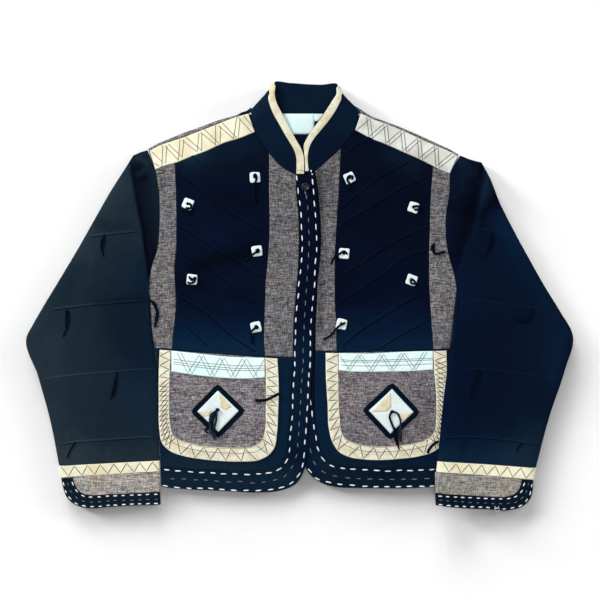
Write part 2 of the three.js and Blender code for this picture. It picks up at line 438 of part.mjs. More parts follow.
// ---------------------------------------------------------------- shoulders
for (const [hand, dir] of HANDS) {
  const S = SHOULDER[hand], T = TOP[hand].slice(0, S.length);
  const shoulder = [0, 0.5, 1].map((f) => S.map((s, k) => {
    const bulge = k === 0 ? 0 : 0;
    const x = lerp(s.x, T[k].x, f) + (k === 0 ? dir * (0.3 + bulge) : k === S.length - 1 ? -dir * 0.4 : 0);
    return [x, lerp(s.y - 0.2, T[k].y + 0.3, f), FRONT_Z + CLOTH / 2];
  }));
  wall(`shoulder_band_${hand}`, shoulder, CLOTH, CREAM);
  // the back's tweed strip: lower limb under the band, fold, and the edge that shows above it
  const r = 0.76, mid = CLOTH / 2;
  const strip = S.map((s, k) => {
    const t = T[k], last = k === S.length - 1;
    const low = last ? [s.foldX, 245.3] : [t.x, t.y], top = last ? [s.foldX, s.foldY - 2.2] : [s.x, s.y];
    const fx = s.foldX - (k === 0 ? dir * -0.4 : 0), d = r + mid;
    const row = [[low[0], low[1] + 0.25, mid], [lerp(low[0], fx, 0.6), lerp(low[1], s.foldY, 0.6), mid]];
    for (const a of [-90, -45, 0, 45, 90])
      row.push([fx, s.foldY - d + r * Math.cos((a * Math.PI) / 180), mid + r + r * Math.sin((a * Math.PI) / 180)]);
    row.push([lerp(fx, top[0], 0.9), Math.min(top[1] + 0.1, s.foldY - d - 0.2), mid + 2 * r]);
    return row.map(([x, y, z]) => [x + (k === 0 ? dir * 0.5 : 0), y, z]);
  });
  wall(`back_shoulder_strip_${hand}`, strip, CLOTH, TWEED, false);
}

// ---------------------------------------------------------------- the back
const flat = () => 0;
const backHem = (x) => -263.1 - 31 * ((x - 9.3) / 224.8) ** 2;
{
  const levels = [190, 215, 232, 250, 265, 284, 300, 320, 335, 348, 371, 400, 425, 447].map((v) => (296.25 - v) * 1.55);
  const xs = [160.5, 185, 215, 245, 275, 306, 337, 367, 397, 427, 448.7].map((v) => (v - 300) * 1.55);
  const neck = [[-91.8, 245.9], [-91.8, 281.7], [-77.8, 283.4], [-31, 282.8], [46.5, 282.8], [92.4, 283.4], [107.6, 278.1], [107.6, 245.8]];
  const outline = [
    ...TOP.left.slice(0, 7).map((p, k) => [p.x + (k ? 0 : 0.2), p.y - 0.25]), ...neck,
    ...TOP.right.slice(0, 7).map((p, k) => [p.x - (k ? 0 : 0.2), p.y - 0.25]).reverse(),
    ...levels.map((y) => [SIDE.right(y) - HALF, y]),
    ...xs.map((x) => [x, backHem(x) + BAND_WIDTH + HALF]).reverse(),
    ...levels.map((y) => [SIDE.left(y) + HALF, y]).reverse(),
  ].filter((p, i, all) => i === 0 || Math.hypot(p[0] - all[i - 1][0], p[1] - all[i - 1][1]) > 0.5);
  plate("back_body", outline, null, flat, CLOTH, NAVY);
  const low = [161.9, ...[185, 215, 245, 275, 306, 337, 367, 397, 427], 449.1].map((v) => (v - 300) * 1.55);
  plate("back_hem_band", [...xs.map((x) => [x, backHem(x) + BAND_WIDTH - HALF]), ...low.map((x) => [x, backHem(x)]).reverse()], null, flat, CLOTH, BAND);
}

// ---------------------------------------------------------------- sleeves and cuffs
// the underside's lift where a sleeve laps over the body
const lapStart = column(table("y x", [-83.3, 263.5], [-160.8, 265.1], [-331.3, 266.6]), "y", "x");
const sleeveLift = (hand) => (x, y) => hand === "left" ? 0 : SLEEVE_LIFT * smooth((lapStart(y) - x) / 26.4) * smooth((0.4 - y) / 74.4);
const ARMHOLE_LEVELS = { left: [169.6, 190, 215, 232, 250, 265], right: [173.6, 190, 215, 232, 250, 265] };
const cuffTop = {};
for (const [hand, dir] of HANDS) {
  const S = SLEEVE[hand], O = S[0], lift = sleeveLift(hand), fold = HEAD_FOLD[hand], foldX = column(fold, "y", "x");
  const armhole = ARMHOLE_LEVELS[hand].map((v) => { const y = (296.25 - v) * 1.55; return [SIDE[hand](y) - dir * HALF * 1.6, y]; });
  const dx = O.ix - O.ox, dy = O.iy - O.oy, L = Math.hypot(dx, dy);
  // armhole points as a share of the chord and an offset from it
  const stations = armhole.map(([x, y]) => { const f = ((x - O.ox) * dx + (y - O.oy) * dy) / (L * L); return { f, ox: x - O.ox - dx * f, oy: y - O.oy - dy * f }; });
  const bow = (f) => {
    const all = [{ f: 0, ox: 0, oy: 0 }, ...stations, { f: 1, ox: 0, oy: 0 }];
    let i = 1; while (i < all.length - 1 && all[i].f < f) i++;
    const a = all[i - 1], b = all[i], t = clamp((f - a.f) / (b.f - a.f));
    return [lerp(a.ox, b.ox, t), lerp(a.oy, b.oy, t)];
  };
  const crest = (x, y) => 0.9 * Math.exp(-(((x - foldX(y)) / 14) ** 2)) * smooth((y - fold[fold.length - 1].y + 20) / 40);
  const ring = (s, inset) => {
    const W = Math.hypot(s.ix - s.ox, s.iy - s.oy), r = s.r, q = r - inset, pts = [];
    const put = (d, z) => { // d: distance across from the outer edge
      const f = d / W, [bx, by] = bow(clamp(f));
      const x = lerp(s.ox, s.ix, f) + bx * s.curve, y = lerp(s.oy, s.iy, f) + by * s.curve;
      pts.push([x, y, z + lift(x, y)]);
    };
    const top = (d) => {
      const f = d / W, [bx, by] = bow(clamp(f)), x = lerp(s.ox, s.ix, f) + bx * s.curve, y = lerp(s.oy, s.iy, f) + by * s.curve;
      return 2 * r + (s.full * Math.sin(Math.PI * clamp(f)) ** 0.7) + crest(x, y) * (1 - s.curve) * clamp(2 * Math.min(f, 1 - f) * 4);
    };
    put(inset, r);
    put(r - q * 0.707, r + q * 0.707);
    put(r, 2 * r - inset);
    for (const st of stations) put(st.f * W, top(st.f * W) - inset);
    put(W - r, 2 * r - inset);
    put(W - r + q * 0.707, r + q * 0.707);
    put(W - inset, r);
    put(W - r + q * 0.707, r - q * 0.707);
    put(W - r, inset);
    for (const st of [5, 4, 2, 1, 0].map((i) => stations[i])) put(st.f * W, inset);
    put(r, inset);
    put(r - q * 0.707, r - q * 0.707);
    return pts;
  };
  sleeveTube(`sleeve_${hand}`, S.map((s) => ring(s, 0)), S.map((s) => ring(s, CLOTH)), NAVY);

  // cream cuff band: a short tube that goes on from the sleeve
  const flatRing = (o, r, inset) => {
    const W = Math.hypot(o.ix - o.ox, o.iy - o.oy), q = r - inset;
    const list = [[inset, r], [r - q * 0.707, r + q * 0.707], [r, 2 * r - inset], ...[0.25, 0.5, 0.75].map((f) => [W * f, 2 * r - inset]), [W - r, 2 * r - inset], [W - r + q * 0.707, r + q * 0.707],
      [W - inset, r], [W - r + q * 0.707, r - q * 0.707], [W - r, inset], ...[0.75, 0.5, 0.25].map((f) => [W * f, inset]), [r, inset], [r - q * 0.707, r - q * 0.707]];
    return list.map(([d, z]) => { const x = lerp(o.ox, o.ix, d / W), y = lerp(o.oy, o.iy, d / W); return [x, y, z + lift(x, y)]; });
  };
  const C = CUFF[hand];
  const creamRows = [C.cream[0], { ox: lerp(C.cream[0].ox, C.cream[1].ox, 0.5), oy: lerp(C.cream[0].oy, C.cream[1].oy, 0.5), ix: lerp(C.cream[0].ix, C.cream[1].ix, 0.5), iy: lerp(C.cream[0].iy, C.cream[1].iy, 0.5) }, C.cream[1]];
  sleeveTube(`cuff_cream_${hand}`, creamRows.map((o) => flatRing(o, 1.8, 0)), creamRows.map((o) => flatRing(o, 1.8, CLOTH)), CREAM);

  // tweed and edge band: front layer, fold at the inner edge, back layer under it; the outer
  // corner stays open
  const r = 1.2, low = CLOTH / 2, high = low + 2 * r;
  const creamLow = (x) => lerp(C.cream[1].oy, C.cream[1].iy, clamp((x - C.cream[1].ox) / (C.cream[1].ix - C.cream[1].ox))) - 0.35;
  const E = C.edge, end = { x: C.end[0], y: C.end[1], ox: C.end[2], oy: C.end[3] };
  const folded = (rows, endRow) => {
    // rows: one list of [x, y] per station on the front layer; endRow: its points at the fold
    const out = [];
    rows.forEach((row) => out.push(row.map(([x, y]) => [x, y, high])));
    for (const a of [90, 45, 0, -45, -90]) out.push(endRow.map(([x, y]) => [x - dir * (r + low) + dir * r * Math.cos((a * Math.PI) / 180), y, low + r + r * Math.sin((a * Math.PI) / 180)]));
    [...rows].reverse().forEach((row) => out.push(row.map(([x, y]) => [x, y, low])));
    return out.map((row) => row.map(([x, y, z]) => [x, y, z + lift(x, y)]));
  };
  const gapUp = 0.25;
  const tweed = E.slice(0, 8).map((e, i) => [0, 0.5, 1].map((f) => [e.ix + (i === 0 ? dir * 0.5 : dir * 0.3 * (i < 4 ? 1 : 0)), lerp(Math.max(creamLow(e.ix), e.iy + 0.6), e.iy + gapUp, f)]));
  wall(`cuff_tweed_${hand}`, folded(tweed, [0, 0.5, 1].map((f) => [end.x, lerp(creamLow(end.x), end.y + gapUp, f)])), CLOTH, TWEED, false);
  const band = E.map((e, i) => [0, 0.5, 1].map((f) => [lerp(e.ix - dir * (i < 4 ? 0.25 : 0), e.ox, f), lerp(e.iy - (i >= 3 ? 0.25 : 0), e.oy, f)]));
  wall(`cuff_edge_${hand}`, folded(band, [0, 0.5, 1].map((f) => [lerp(end.x, end.ox, f), lerp(end.y - 0.25, end.oy, f)])), CLOTH, BAND, false);
}

// ---------------------------------------------------------------- collar
// One band from the left front end round the back to the right front end: its middle surface.
const collarColumn = (sx, sy, sz, tx, ty, tz) => (v) => [lerp(sx, tx, v), lerp(sy, ty, v), lerp(sz, tz, v ** 0.8)];
const collarColumns = [];
{
  const half = COLLAR_CLOTH / 2;
  const foldColumns = (hand) => {
    const F = COLLAR_FOLD[hand], dir = hand === "left" ? -1 : 1;
    const tx = F.t[0] - F.s[0], ty = F.t[1] - F.s[1], len = Math.hypot(tx, ty);
    const n = [(dir * ty) / len, (-dir * tx) / len]; // outward
    return [90, 45, 0, -45, -90].map((a) => (v) => {
      const r = lerp(0.95, 4.1, v ** 0.8), ca = Math.cos((a * Math.PI) / 180), sa = Math.sin((a * Math.PI) / 180);
      const back = 1.3 * smooth(v / 0.75), z0 = half + back * (1 - sa) / 2;
      const d = -(r + half) + r * ca - F.bow * Math.sin(Math.PI * v ** 1.6);
      return [lerp(F.s[0], F.t[0], v) + n[0] * d, lerp(F.s[1], F.t[1], v) + n[1] * d, z0 + r + r * sa];
    });
  };
  const frontColumns = (hand) => COLLAR[hand].map((c) => collarColumn(c.sx, c.sy, c.sz, c.tx, c.ty, c.tz));
  const backColumns = COLLAR_BACK.map((c) => (v) => [lerp(c.sx, c.tx, v), lerp(c.sy, c.ty, v), half + 1.3 * smooth(v / 0.75)]);
  collarColumns.push(...frontColumns("left"), ...foldColumns("left"), ...backColumns, ...foldColumns("right").reverse(), ...frontColumns("right").reverse());
  wall("collar", collarColumns.map((fn) => [0, 0.35, 0.7, 1].map(fn)), COLLAR_CLOTH, NAVY, false);

  // binding: on the front by its own edges, then along the upper edge round the folds and the back
  const V = (p) => new THREE.Vector3(...p), n = collarColumns.length, fronts = COLLAR.left.length;
  const d = COLLAR_CLOTH / 2 + SEAM + TRIM / 2;
  const stations = [0, 0.35, 0.7, 1];
  const straight = collarColumns.map((fn) => (v) => { // between its stations the collar is straight
    const k = v < 0.35 ? 0 : v < 0.7 ? 1 : 2, f = (v - stations[k]) / (stations[k + 1] - stations[k]);
    return fn(stations[k]).map((c, j) => lerp(c, fn(stations[k + 1])[j], f));
  });
  const rows = straight.map((fn, i) => {
    const v0 = 1 - BINDING_WIDTH / V(fn(0)).distanceTo(V(fn(1)));
    const before = straight[Math.max(0, i - 1)], after = straight[Math.min(n - 1, i + 1)];
    return [v0, (v0 + 1) / 2, 1].map((v) => {
      const across = V(fn(Math.min(1, v + 0.05))).sub(V(fn(v - 0.05)));
      const along = V(after(v)).sub(V(before(v)));
      return V(fn(v)).addScaledVector(across.cross(along).normalize(), d).toArray();
    });
  }).slice(fronts, n - fronts);
  // height of the collar's middle surface at x, y, from points spread over its front columns
  const heights = straight.slice(0, fronts + 1).concat(straight.slice(n - fronts - 1));
  const spread = [];
  for (let k = 0; k + 1 < heights.length; k++) {
    if (k === fronts) continue;
    for (let a = 0; a <= 1; a += 0.0625)
      for (let v = 0; v <= 1; v += 0.02) {
        const p = heights[k](v), q = heights[k + 1](v);
        spread.push(p.map((c, j) => lerp(c, q[j], a)));
      }
  }
  const collarZ = (x, y) => spread.reduce((best, p) => { const q = Math.hypot(p[0] - x, p[1] - y); return q < best[0] ? [q, p[2]] : best; }, [1e9, 0])[1];
  const frontRows = (hand) => BINDING[hand].map((b) => [0, 0.5, 1].map((f) => { const x = lerp(b.ox, b.ix, f), y = lerp(b.oy, b.iy, f); return [x, y, collarZ(x, y) + d + 0.1]; }));
  rows.unshift(...frontRows("left"));
  rows.push(...frontRows("right").reverse());
  wall("collar_binding", rows, TRIM, CREAM, false);
}

// ---------------------------------------------------------------- pockets
for (const [hand, dir] of HANDS) {
  const P = POCKET[hand], n = P.length;
  const body = [];
  // the pocket's tweed reaches under its border: halves of the outline facing each other
  for (let i = 0; i < n / 2; i++) {
    const a = P[i], b = P[n - 1 - i];
    const ax = lerp(a.ox, a.ix, 0.15), ay = lerp(a.oy, a.iy, 0.15), bx = lerp(b.ox, b.ix, 0.15), by = lerp(b.oy, b.iy, 0.15);
    body.push([0, 0.2, 0.4, 0.6, 0.8, 1].map((f) => { const x = lerp(ax, bx, f), y = lerp(ay, by, f); return [x, y, ON_FRONT + TRIM / 2 + puff(x, y)]; }));
  }
  wall(`pocket_body_${hand}`, body, TRIM, TWEED);
  const on = (x, y) => [x, y, ON_POCKET + TRIM / 2 + puff(x, y)];
  wall(`pocket_border_${hand}`, P.map((p) => [0, 1].map((f) => on(lerp(p.ix, p.ox, f), lerp(p.iy, p.oy, f)))), TRIM, CREAM);
  wall(`pocket_top_${hand}`, POCKET_TOP[hand].map((p) => [on(p.x, p.top), on(p.x, p.bottom)]), TRIM, WHITE);
  const D = DIAMOND[hand];
  const diamond = (h, parts) => Array.from({ length: 4 * parts }, (_, i) => {
    const k = Math.floor(i / parts), f = (i % parts) / parts, at = (j) => { const a = ((90 + 90 * j + D.turn) * Math.PI) / 180; return [D.x + h * Math.cos(a), D.y + h * Math.sin(a)]; };
    const [p, q] = [at(k), at(k + 1)];
    return [lerp(p[0], q[0], f), lerp(p[1], q[1], f)];
  });
  plate(`pocket_frame_${hand}`, diamond(D.outer, 2), diamond(D.inner, 2), (x, y) => ON_POCKET + 0.1 + puff(x, y), TRIM, YARN_BLACK);
  plate(`pocket_diamond_${hand}`, diamond(D.inner - 0.45, 2), null, (x, y) => ON_POCKET + 0.1 + puff(x, y), TRIM, WHITE);
  yarn(`pocket_tassel_${hand}`, TASSEL[hand].map((p, i) => [p.x, p.y, ON_POCKET + 0.1 + TRIM + 0.35 + 1.6 + puff(p.x, p.y)]), 3, YARN_BLACK, 8);
}

// ---------------------------------------------------------------- small pieces
const box = (b) => [[b.x0, b.y0], [b.x1, b.y0], [b.x1, b.y1], [b.x0, b.y1]];
plate("neck_label", box(LABEL), null, () => CLOTH + SEAM, TRIM, WHITE);
plate("size_tab", box(TAB), null, () => CLOTH + SEAM, TRIM, WHITE);
for (const s of SQUARES) {
  const h = SQUARE / 2, c = 2, a = (s.turn * Math.PI) / 180;
  const turned = ([x, y]) => [s.x + x * Math.cos(a) - y * Math.sin(a), s.y + x * Math.sin(a) + y * Math.cos(a)];
  const outline = [[h - c, -h], [h, -h + c], [h, h - c], [h - c, h], [-h + c, h], [-h, h - c], [-h, -h + c], [-h + c, -h]].map(turned);
  const hole = Array.from({ length: 6 }, (_, i) => turned([2.6 * Math.cos((i * Math.PI) / 3), 2.6 * Math.sin((i * Math.PI) / 3)]));
  plate(`square_${s.name}`, outline, hole, (x, y) => ON_FRONT + 0.15 + puff(x, y), 1.8, WHITE);
}
{
  const profile = [[0, 0], [BUTTON_R - 1, 0], [BUTTON_R, 1], [BUTTON_R - 0.4, 2.4], [BUTTON_R - 1.6, 2.6], [BUTTON_R - 2.4, 1.9], [0, 1.7]].map(([x, y]) => new THREE.Vector2(x, y));
  let g = new THREE.LatheGeometry(profile, 16);
  g.deleteAttribute("normal");
  g.deleteAttribute("uv");
  g = mergeVertices(g, 1e-4);
  g.rotateX(Math.PI / 2);
  g.translate(BUTTON.x, BUTTON.y, FRONT_Z + LAP + CLOTH + 0.4);
  g.computeVertexNormals();
  const mesh = new THREE.Mesh(g, BUTTON_BLACK);
  mesh.name = "button";
  jacket.add(mesh);
}
// Yarn ends lie on the cloth under them: sleeves, or outer strips.
const sleeveTop = (hand, x, y) => 2 * 2.1 + 0.9 + 1 + sleeveLift(hand)(x - 14, y);
for (const t of YARN_ENDS) {
  const onStrip = t.name.includes("strip"), hand = t.name.includes("left") ? "left" : "right";
  const z = (x, y) => (onStrip ? ON_FRONT + puff(x, y) + 0.2 : sleeveTop(hand, x, y)) + YARN / 2;
  yarn(t.name, [[t.x1, t.y1, z(t.x1, t.y1)], [t.x2, t.y2, z(t.x2, t.y2)], [t.x3, t.y3, z(t.x3, t.y3)]], YARN, YARN_BLACK, 7);
}

export default jacket;
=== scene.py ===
"""Cropped western jacket laid flat on its back: cloth shells, stitches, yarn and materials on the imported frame.
Sizes are in millimetres until a mesh is made; X runs across, Y from hem to neck, Z up."""
import math
import bmesh
import bpy
import numpy as np
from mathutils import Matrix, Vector
from mathutils.bvhtree import BVHTree


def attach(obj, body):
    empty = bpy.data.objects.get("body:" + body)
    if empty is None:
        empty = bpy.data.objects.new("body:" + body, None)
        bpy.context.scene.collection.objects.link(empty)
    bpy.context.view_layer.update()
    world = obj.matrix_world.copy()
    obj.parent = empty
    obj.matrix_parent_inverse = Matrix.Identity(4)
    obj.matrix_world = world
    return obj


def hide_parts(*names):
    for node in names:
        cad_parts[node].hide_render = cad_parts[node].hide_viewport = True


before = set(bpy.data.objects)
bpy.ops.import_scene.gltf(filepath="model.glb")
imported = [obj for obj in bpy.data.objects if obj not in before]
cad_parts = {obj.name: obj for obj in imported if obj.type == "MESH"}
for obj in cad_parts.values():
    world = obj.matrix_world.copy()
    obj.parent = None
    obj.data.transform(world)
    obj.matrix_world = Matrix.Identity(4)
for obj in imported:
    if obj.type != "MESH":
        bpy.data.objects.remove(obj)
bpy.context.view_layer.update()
MM = 0.001

# ------------------------------------------------------------------ sizes, as in the part
CLOTH, TRIM, COLLAR_CLOTH, SEAM, HALF = 1.2, 1.0, 1.6, 0.3, 0.17
FRONT_Z = CLOTH + SEAM
ON_FRONT = FRONT_Z + CLOTH + SEAM
ON_POCKET = ON_FRONT + TRIM + SEAM
PUFF = 2.0
BAND_WIDTH, HIDDEN_BAND = 31, 22.6
LAP = CLOTH + SEAM + 0.35
SLEEVE_LIFT = 6.3
SQUARE = 16.0
HEM_Y = -266.2
HANDS = (("left", 1), ("right", -1))


def T(names, *rows):
    a = np.array(rows, float)
    return {n: a[:, i] for i, n in enumerate(names.split())}


def col(t, a, b):
    xs, ys = t[a], t[b]
    if xs[0] > xs[-1]:
        xs, ys = xs[::-1], ys[::-1]
    return lambda v: np.interp(v, xs, ys)


def clamp(v, a=0.0, b=1.0):
    return np.minimum(b, np.maximum(a, v))


def lerp(a, b, t):
    return a + (b - a) * t


def smooth(t):
    t = clamp(t)
    return t * t * (3 - 2 * t)

FRONT = {
  "left": T("y side a b c",
    [226.7, -235.1, -193.8, -48.1, -6.2],
    [196.3, -224.4, -193.8, -48.1, -6.2],
    [164.7, -219.2, -192.2, -48.1, -5.6],
    [125.9, -217.8, -191.4, -47.6, -2.3],
    [99.6, -218.6, -191.4, -47.4, -1.6],
    [71.7, -221.7, -191.7, -48.8, -1.6],
    [48.4, -229.4, -194.4, -50.7, -2.5],
    [19, -235.6, -193.6, -53.3, -5],
    [-5.8, -232.8, -192, -54.2, -7],
    [-36.8, -231, -194.1, -55.2, -9.3],
    [-60.1, -228.8, -196.8, -55.8, -10.4],
    [-86.4, -224.4, -198.4, -54.6, -10.8]),
  "right": T("y side a b c",
    [226.7, 248.3, 206.2, 63.6, 23.2],
    [190.1, 232.7, 206.2, 63.6, 23.2],
    [164.7, 232.2, 203.5, 60.5, 27.9],
    [125.9, 226.8, 201.5, 57.7, 31],
    [99.6, 226.3, 201.2, 56.3, 32.6],
    [71.7, 229.4, 200, 54.6, 32.1],
    [48.4, 235, 200, 54.2, 30.1],
    [19, 243.7, 200, 54.2, 26.7],
    [-5.8, 241.5, 201.5, 54.2, 26.4],
    [-36.8, 237.6, 203.5, 55.8, 24.6],
    [-60.1, 234.8, 205.1, 56.6, 24.2],
    [-83.3, 232.3, 206.9, 57.4, 24]),
}
#  The line along the shoulder band's lower edge and the neck seam: the fronts' upper edge.
TOP = {
  "left": T("x y",
    [-224.8, 196.3], [-209.2, 202.4], [-193.8, 206.5], [-170.5, 215.8], [-147.2, 224.4],
    [-116.2, 238.3], [-93, 245.3], [-69.8, 254.6], [-59.7, 238.3], [-48.1, 222],
    [-30.2, 202.7], [-14, 192.1], [-6.2, 188.6]),
  "right": T("x y",
    [232.5, 190.1], [219.3, 195.2], [206.2, 201.9], [186, 212], [162.8, 222.3],
    [131.8, 236], [108.5, 245.3], [85.2, 257.7], [74.4, 243.7], [63.6, 229.8],
    [46.5, 214.3], [31.8, 201.1], [23.2, 194.1]),
}
#  The chest seam, from the side to the edge band.
CHEST_SEAM = {
  "left": T("x y", [-225.5, -80.2], [-198.4, -81.8], [-147.2, -88], [-99.2, -91.8], [-54.2, -92.6], [-10.8, -94.5]),
  "right": T("x y", [232.5, -81.1], [206.9, -82.4], [147.2, -84.6], [108.5, -86.4], [57.4, -85.5], [24, -84.2]),
}
#  Where each chest piece's columns stand between its two seams.
STRIP_COLUMNS = [0, 0.5, 1]
PANEL_COLUMNS = { "left": [0, 0.16, 0.319, 0.532, 0.691, 0.851, 0.92, 1], "right": [0, 0.141, 0.304, 0.522, 0.685, 0.848, 0.924, 1] }
INNER_COLUMNS = { "left": [0, 0.426, 0.815, 1], "right": [0, 0.423, 0.788, 1] }
#  The lower front's side seam and its edge along the band, by height.
LOWER = {
  "left": T("y side c",
    [-80.2, -225.4, -10.8], [-115.9, -220.3, -12.4], [-160.8, -219.8, -14.9],
    [-199.6, -219, -17.1], [-233.7, -217.8, -20.2], [-264.7, -216.5, -21.7], [-298.8, -214.2, -21.7]),
  "right": T("y side c",
    [-80.2, 232.3, 24], [-115.9, 231.6, 22.9], [-160.8, 231, 22.9],
    [-199.6, 230.6, 25.3], [-222.8, 230.6, 28.7], [-264.7, 231, 29.4], [-298.8, 231.6, 29.4]),
}
#  The lower front's bottom edge, one row for each of its columns from side to edge band.
LOWER_EDGE = {
  "left": T("x y", [-216.5, -264.7], [-207.7, -265.4], [-193.8, -266.8], [-170.5, -268.5], [-147.2, -269.6], [-120.9, -270.9],
    [-97.7, -271.6], [-74.4, -271.9], [-58.9, -271.2], [-46.5, -269.3], [-32.6, -262.3], [-24, -249.2], [-20.2, -233.7]),
  "right": T("x y", [231, -263.9], [218.6, -264.4], [201.5, -265.1], [181.3, -266.2], [158.1, -267], [134.8, -267],
    [108.5, -266.2], [85.2, -265.1], [66.7, -263.6], [51.1, -259.2], [40.3, -251.5], [33.3, -239.1], [28.7, -222.8]),
}
CORNER_WIDTH = { "left": [0, 0, 0, 0, 0, 0, 0.3, 1, 1.3, 2.5, 5, 2.8, 0.6], "right": [0, 0, 0, 0, 0, 0, 0.3, 0.8, 1.5, 2.5, 2.5, 0.7, 0] } #  band's extra width round its corner, in 1.55 mm
#  Shoulder bands: upper edge above each of the top line's shoulder columns, and the shoulder
#  fold beyond it, which the back's tweed strip turns over.
SHOULDER = {
  "left": T("x y foldX foldY", [-233.6, 225.8, -235.9, 228.7], [-217, 234.4, -218.6, 237.8], [-200, 240.3, -201.5, 244.8],
    [-176.7, 248.1, -178.2, 254.6], [-153.5, 257.2, -155, 262.6], [-124, 268.8, -125.5, 273.5], [-101.5, 277.5, -102.3, 280], [-79.7, 283.4, -93, 282.5]),
  "right": T("x y foldX foldY", [245.2, 217.4, 246.5, 220.2], [230.2, 225.8, 231, 228.5], [215.5, 231.8, 217, 235.1],
    [193.8, 241.1, 195.3, 245], [169, 252.7, 170.5, 256.1], [138, 265.9, 139.5, 268.7], [115.5, 274.1, 116.2, 276.9], [93.6, 284, 110, 279.1]),
}
#  Collar stations from front end to side fold: the neck seam (s), the upper edge (t) and
#  how high the middle of the cloth stands there.
COLLAR = {
  "left": T("sx sy tx ty sz tz",
    [5.6, 189.3, 5.3, 212.7, 3.6, 4.2], [-5.9, 189.5, 3.6, 222.8, 2.9, 4.4],
    [-14, 193.1, -0.6, 233.2, 2.5, 4.8], [-29.8, 203.4, -9.8, 249.9, 2.3, 5.8],
    [-47.4, 223, -19.2, 265.7, 2.3, 6.8], [-58.9, 239.1, -27.9, 281.7, 2.3, 7.7],
    [-68.7, 255.5, -35.3, 295.7, 2.4, 8.5], [-73.9, 273.2, -38.8, 312.6, 2.6, 9]),
  "right": T("sx sy tx ty sz tz",
    [9.9, 192.4, 9, 212.7, 2.6, 3.6], [20.6, 194.3, 6.8, 225.9, 2.3, 4.0],
    [31.3, 202, 9, 237.5, 2.3, 4.6], [45.9, 215.1, 17.1, 253.8, 2.3, 5.6],
    [62.9, 230.6, 26.7, 269.3, 2.3, 6.6], [73.8, 244.5, 38.1, 284.8, 2.3, 7.5],
    [84.2, 258.3, 47.4, 298.6, 2.4, 8.4], [89, 272.4, 56.4, 312.6, 2.6, 9]),
}
#  The collar's side folds: outermost points at the neck seam and at the upper edge.
COLLAR_FOLD = { "left": { "s": [-78.4, 286.8], "t": [-42.5, 329.9], "bow": 1.9 }, "right": { "s": [93.6, 285.9], "t": [60.1, 325.6], "bow": 2.9 } }
#  The collar's back part between the folds: neck seam and upper edge.
COLLAR_BACK = T("sx sy tx ty",
  [-58.9, 284.7, -39.7, 329.9], [-27.9, 284, -14, 330.8], [7.8, 283.7, 9.3, 329], [43.4, 284, 32.6, 328.1], [74.4, 284.7, 58, 327.4])
BINDING_WIDTH = 10.8
BINDING = {
  "left": T("ox oy ix iy",
    [-5.6, 189.5, 6.2, 189.5], [-5.3, 201.9, 6.5, 200.3], [-5.9, 215.8, 6.2, 213.7], [-9.6, 227.3, 1.9, 228.5],
    [-15.5, 237.2, -4.3, 239.1], [-23.2, 249.9, -12.7, 254], [-31.9, 265.4, -21.1, 269.5], [-40, 279.4, -29.1, 285],
    [-46.2, 294, -35.6, 298], [-49, 307.3, -39.1, 311.9]),
  "right": T("ox oy ix iy",
    [13.6, 194.1, 8.2, 193.5], [12.1, 208.1, 8.1, 206.5], [12.7, 222.8, 6.5, 222.8], [16.1, 234.4, 5.9, 233.8],
    [22.6, 245, 11.8, 246.2], [31.3, 255.5, 20.8, 259.5], [41.9, 268.2, 31.6, 273.8], [52.1, 282.2, 41.5, 288.7],
    [59.5, 295.2, 50.5, 302.9], [63.9, 306, 56.4, 312.6]),
}
#  Sleeves in sections from armhole to wrist: a point on the outer edge (o), a point on the
#  inner edge (i), the rounding radius of both edges, the extra height in the middle, and the
#  share of the armhole's curve that the section still has.
SLEEVE = {
  "left": T("ox oy ix iy r full curve",
    [-236.7, 226.7, -236.1, 19, 1.35, 0, 1], [-247.4, 223.3, -234.8, 6.6, 1.6, 0.3, 0.6], [-258.5, 218.3, -233.6, -5.8, 1.9, 0.6, 0.25],
    [-269.1, 201, -232.8, -16.7, 2, 0.7, 0.1],
    [-291.4, 166.2, -231.9, -30.6, 2.1, 0.8, 0], [-317.8, 120.5, -229.2, -60.1, 2.1, 0.9, 0], [-344.1, 74, -226, -80.2, 2.1, 0.9, 0],
    [-370.4, 29.8, -223.4, -98, 2.1, 0.9, 0], [-396.8, -13.6, -220.7, -115.9, 2.1, 0.9, 0], [-414.6, -44.6, -220.6, -132.9, 2.1, 0.9, 0],
    [-423.6, -61.6, -220.3, -160.8, 2.1, 0.9, 0], [-406.1, -123.6, -219.5, -199.6, 2.1, 0.8, 0], [-387.5, -191.8, -218.6, -229, 2, 0.6, 0],
    [-373.6, -262.5, -217.8, -254.1, 1.8, 0.2, 0]),
  "right": T("ox oy ix iy r full curve",
    [248.6, 218.6, 244.1, 17.4, 1.35, 0, 1], [265.1, 211.8, 243.2, 5, 1.6, 0.3, 0.6], [281.3, 207.6, 242, -7.4, 1.9, 0.6, 0.25],
    [292.9, 186.4, 239.9, -22.9, 2.1, 0.8, 0], [309.2, 146.1, 237, -46.1, 2.1, 0.9, 0], [328.6, 107.3, 234.1, -70.9, 2.1, 0.9, 0],
    [353.4, 61.6, 231.4, -86.4, 2.1, 0.9, 0], [378.2, 17.4, 228.2, -105, 2.1, 0.9, 0], [403, -22.9, 226, -125.2, 2.1, 0.9, 0],
    [423.2, -60.8, 221.7, -160.8, 2.1, 0.9, 0], [410.8, -114.3, 218.6, -188.7, 2.1, 0.8, 0], [387.5, -184.1, 215.5, -222.8, 2, 0.6, 0],
    [365.8, -265.6, 212.3, -254.1, 1.8, 0.2, 0]),
}
#  The soft fold that runs down from each sleeve head to the underarm.
HEAD_FOLD = {
  "left": T("x y", [-261.9, 211.2], [-258.9, 172.4], [-249.6, 125.9], [-240.2, 71.7], [-234.1, 25.2]),
  "right": T("x y", [283.7, 198.8], [275.9, 161.6], [263.5, 115.1], [254.2, 79.4], [248, 40.7]),
}
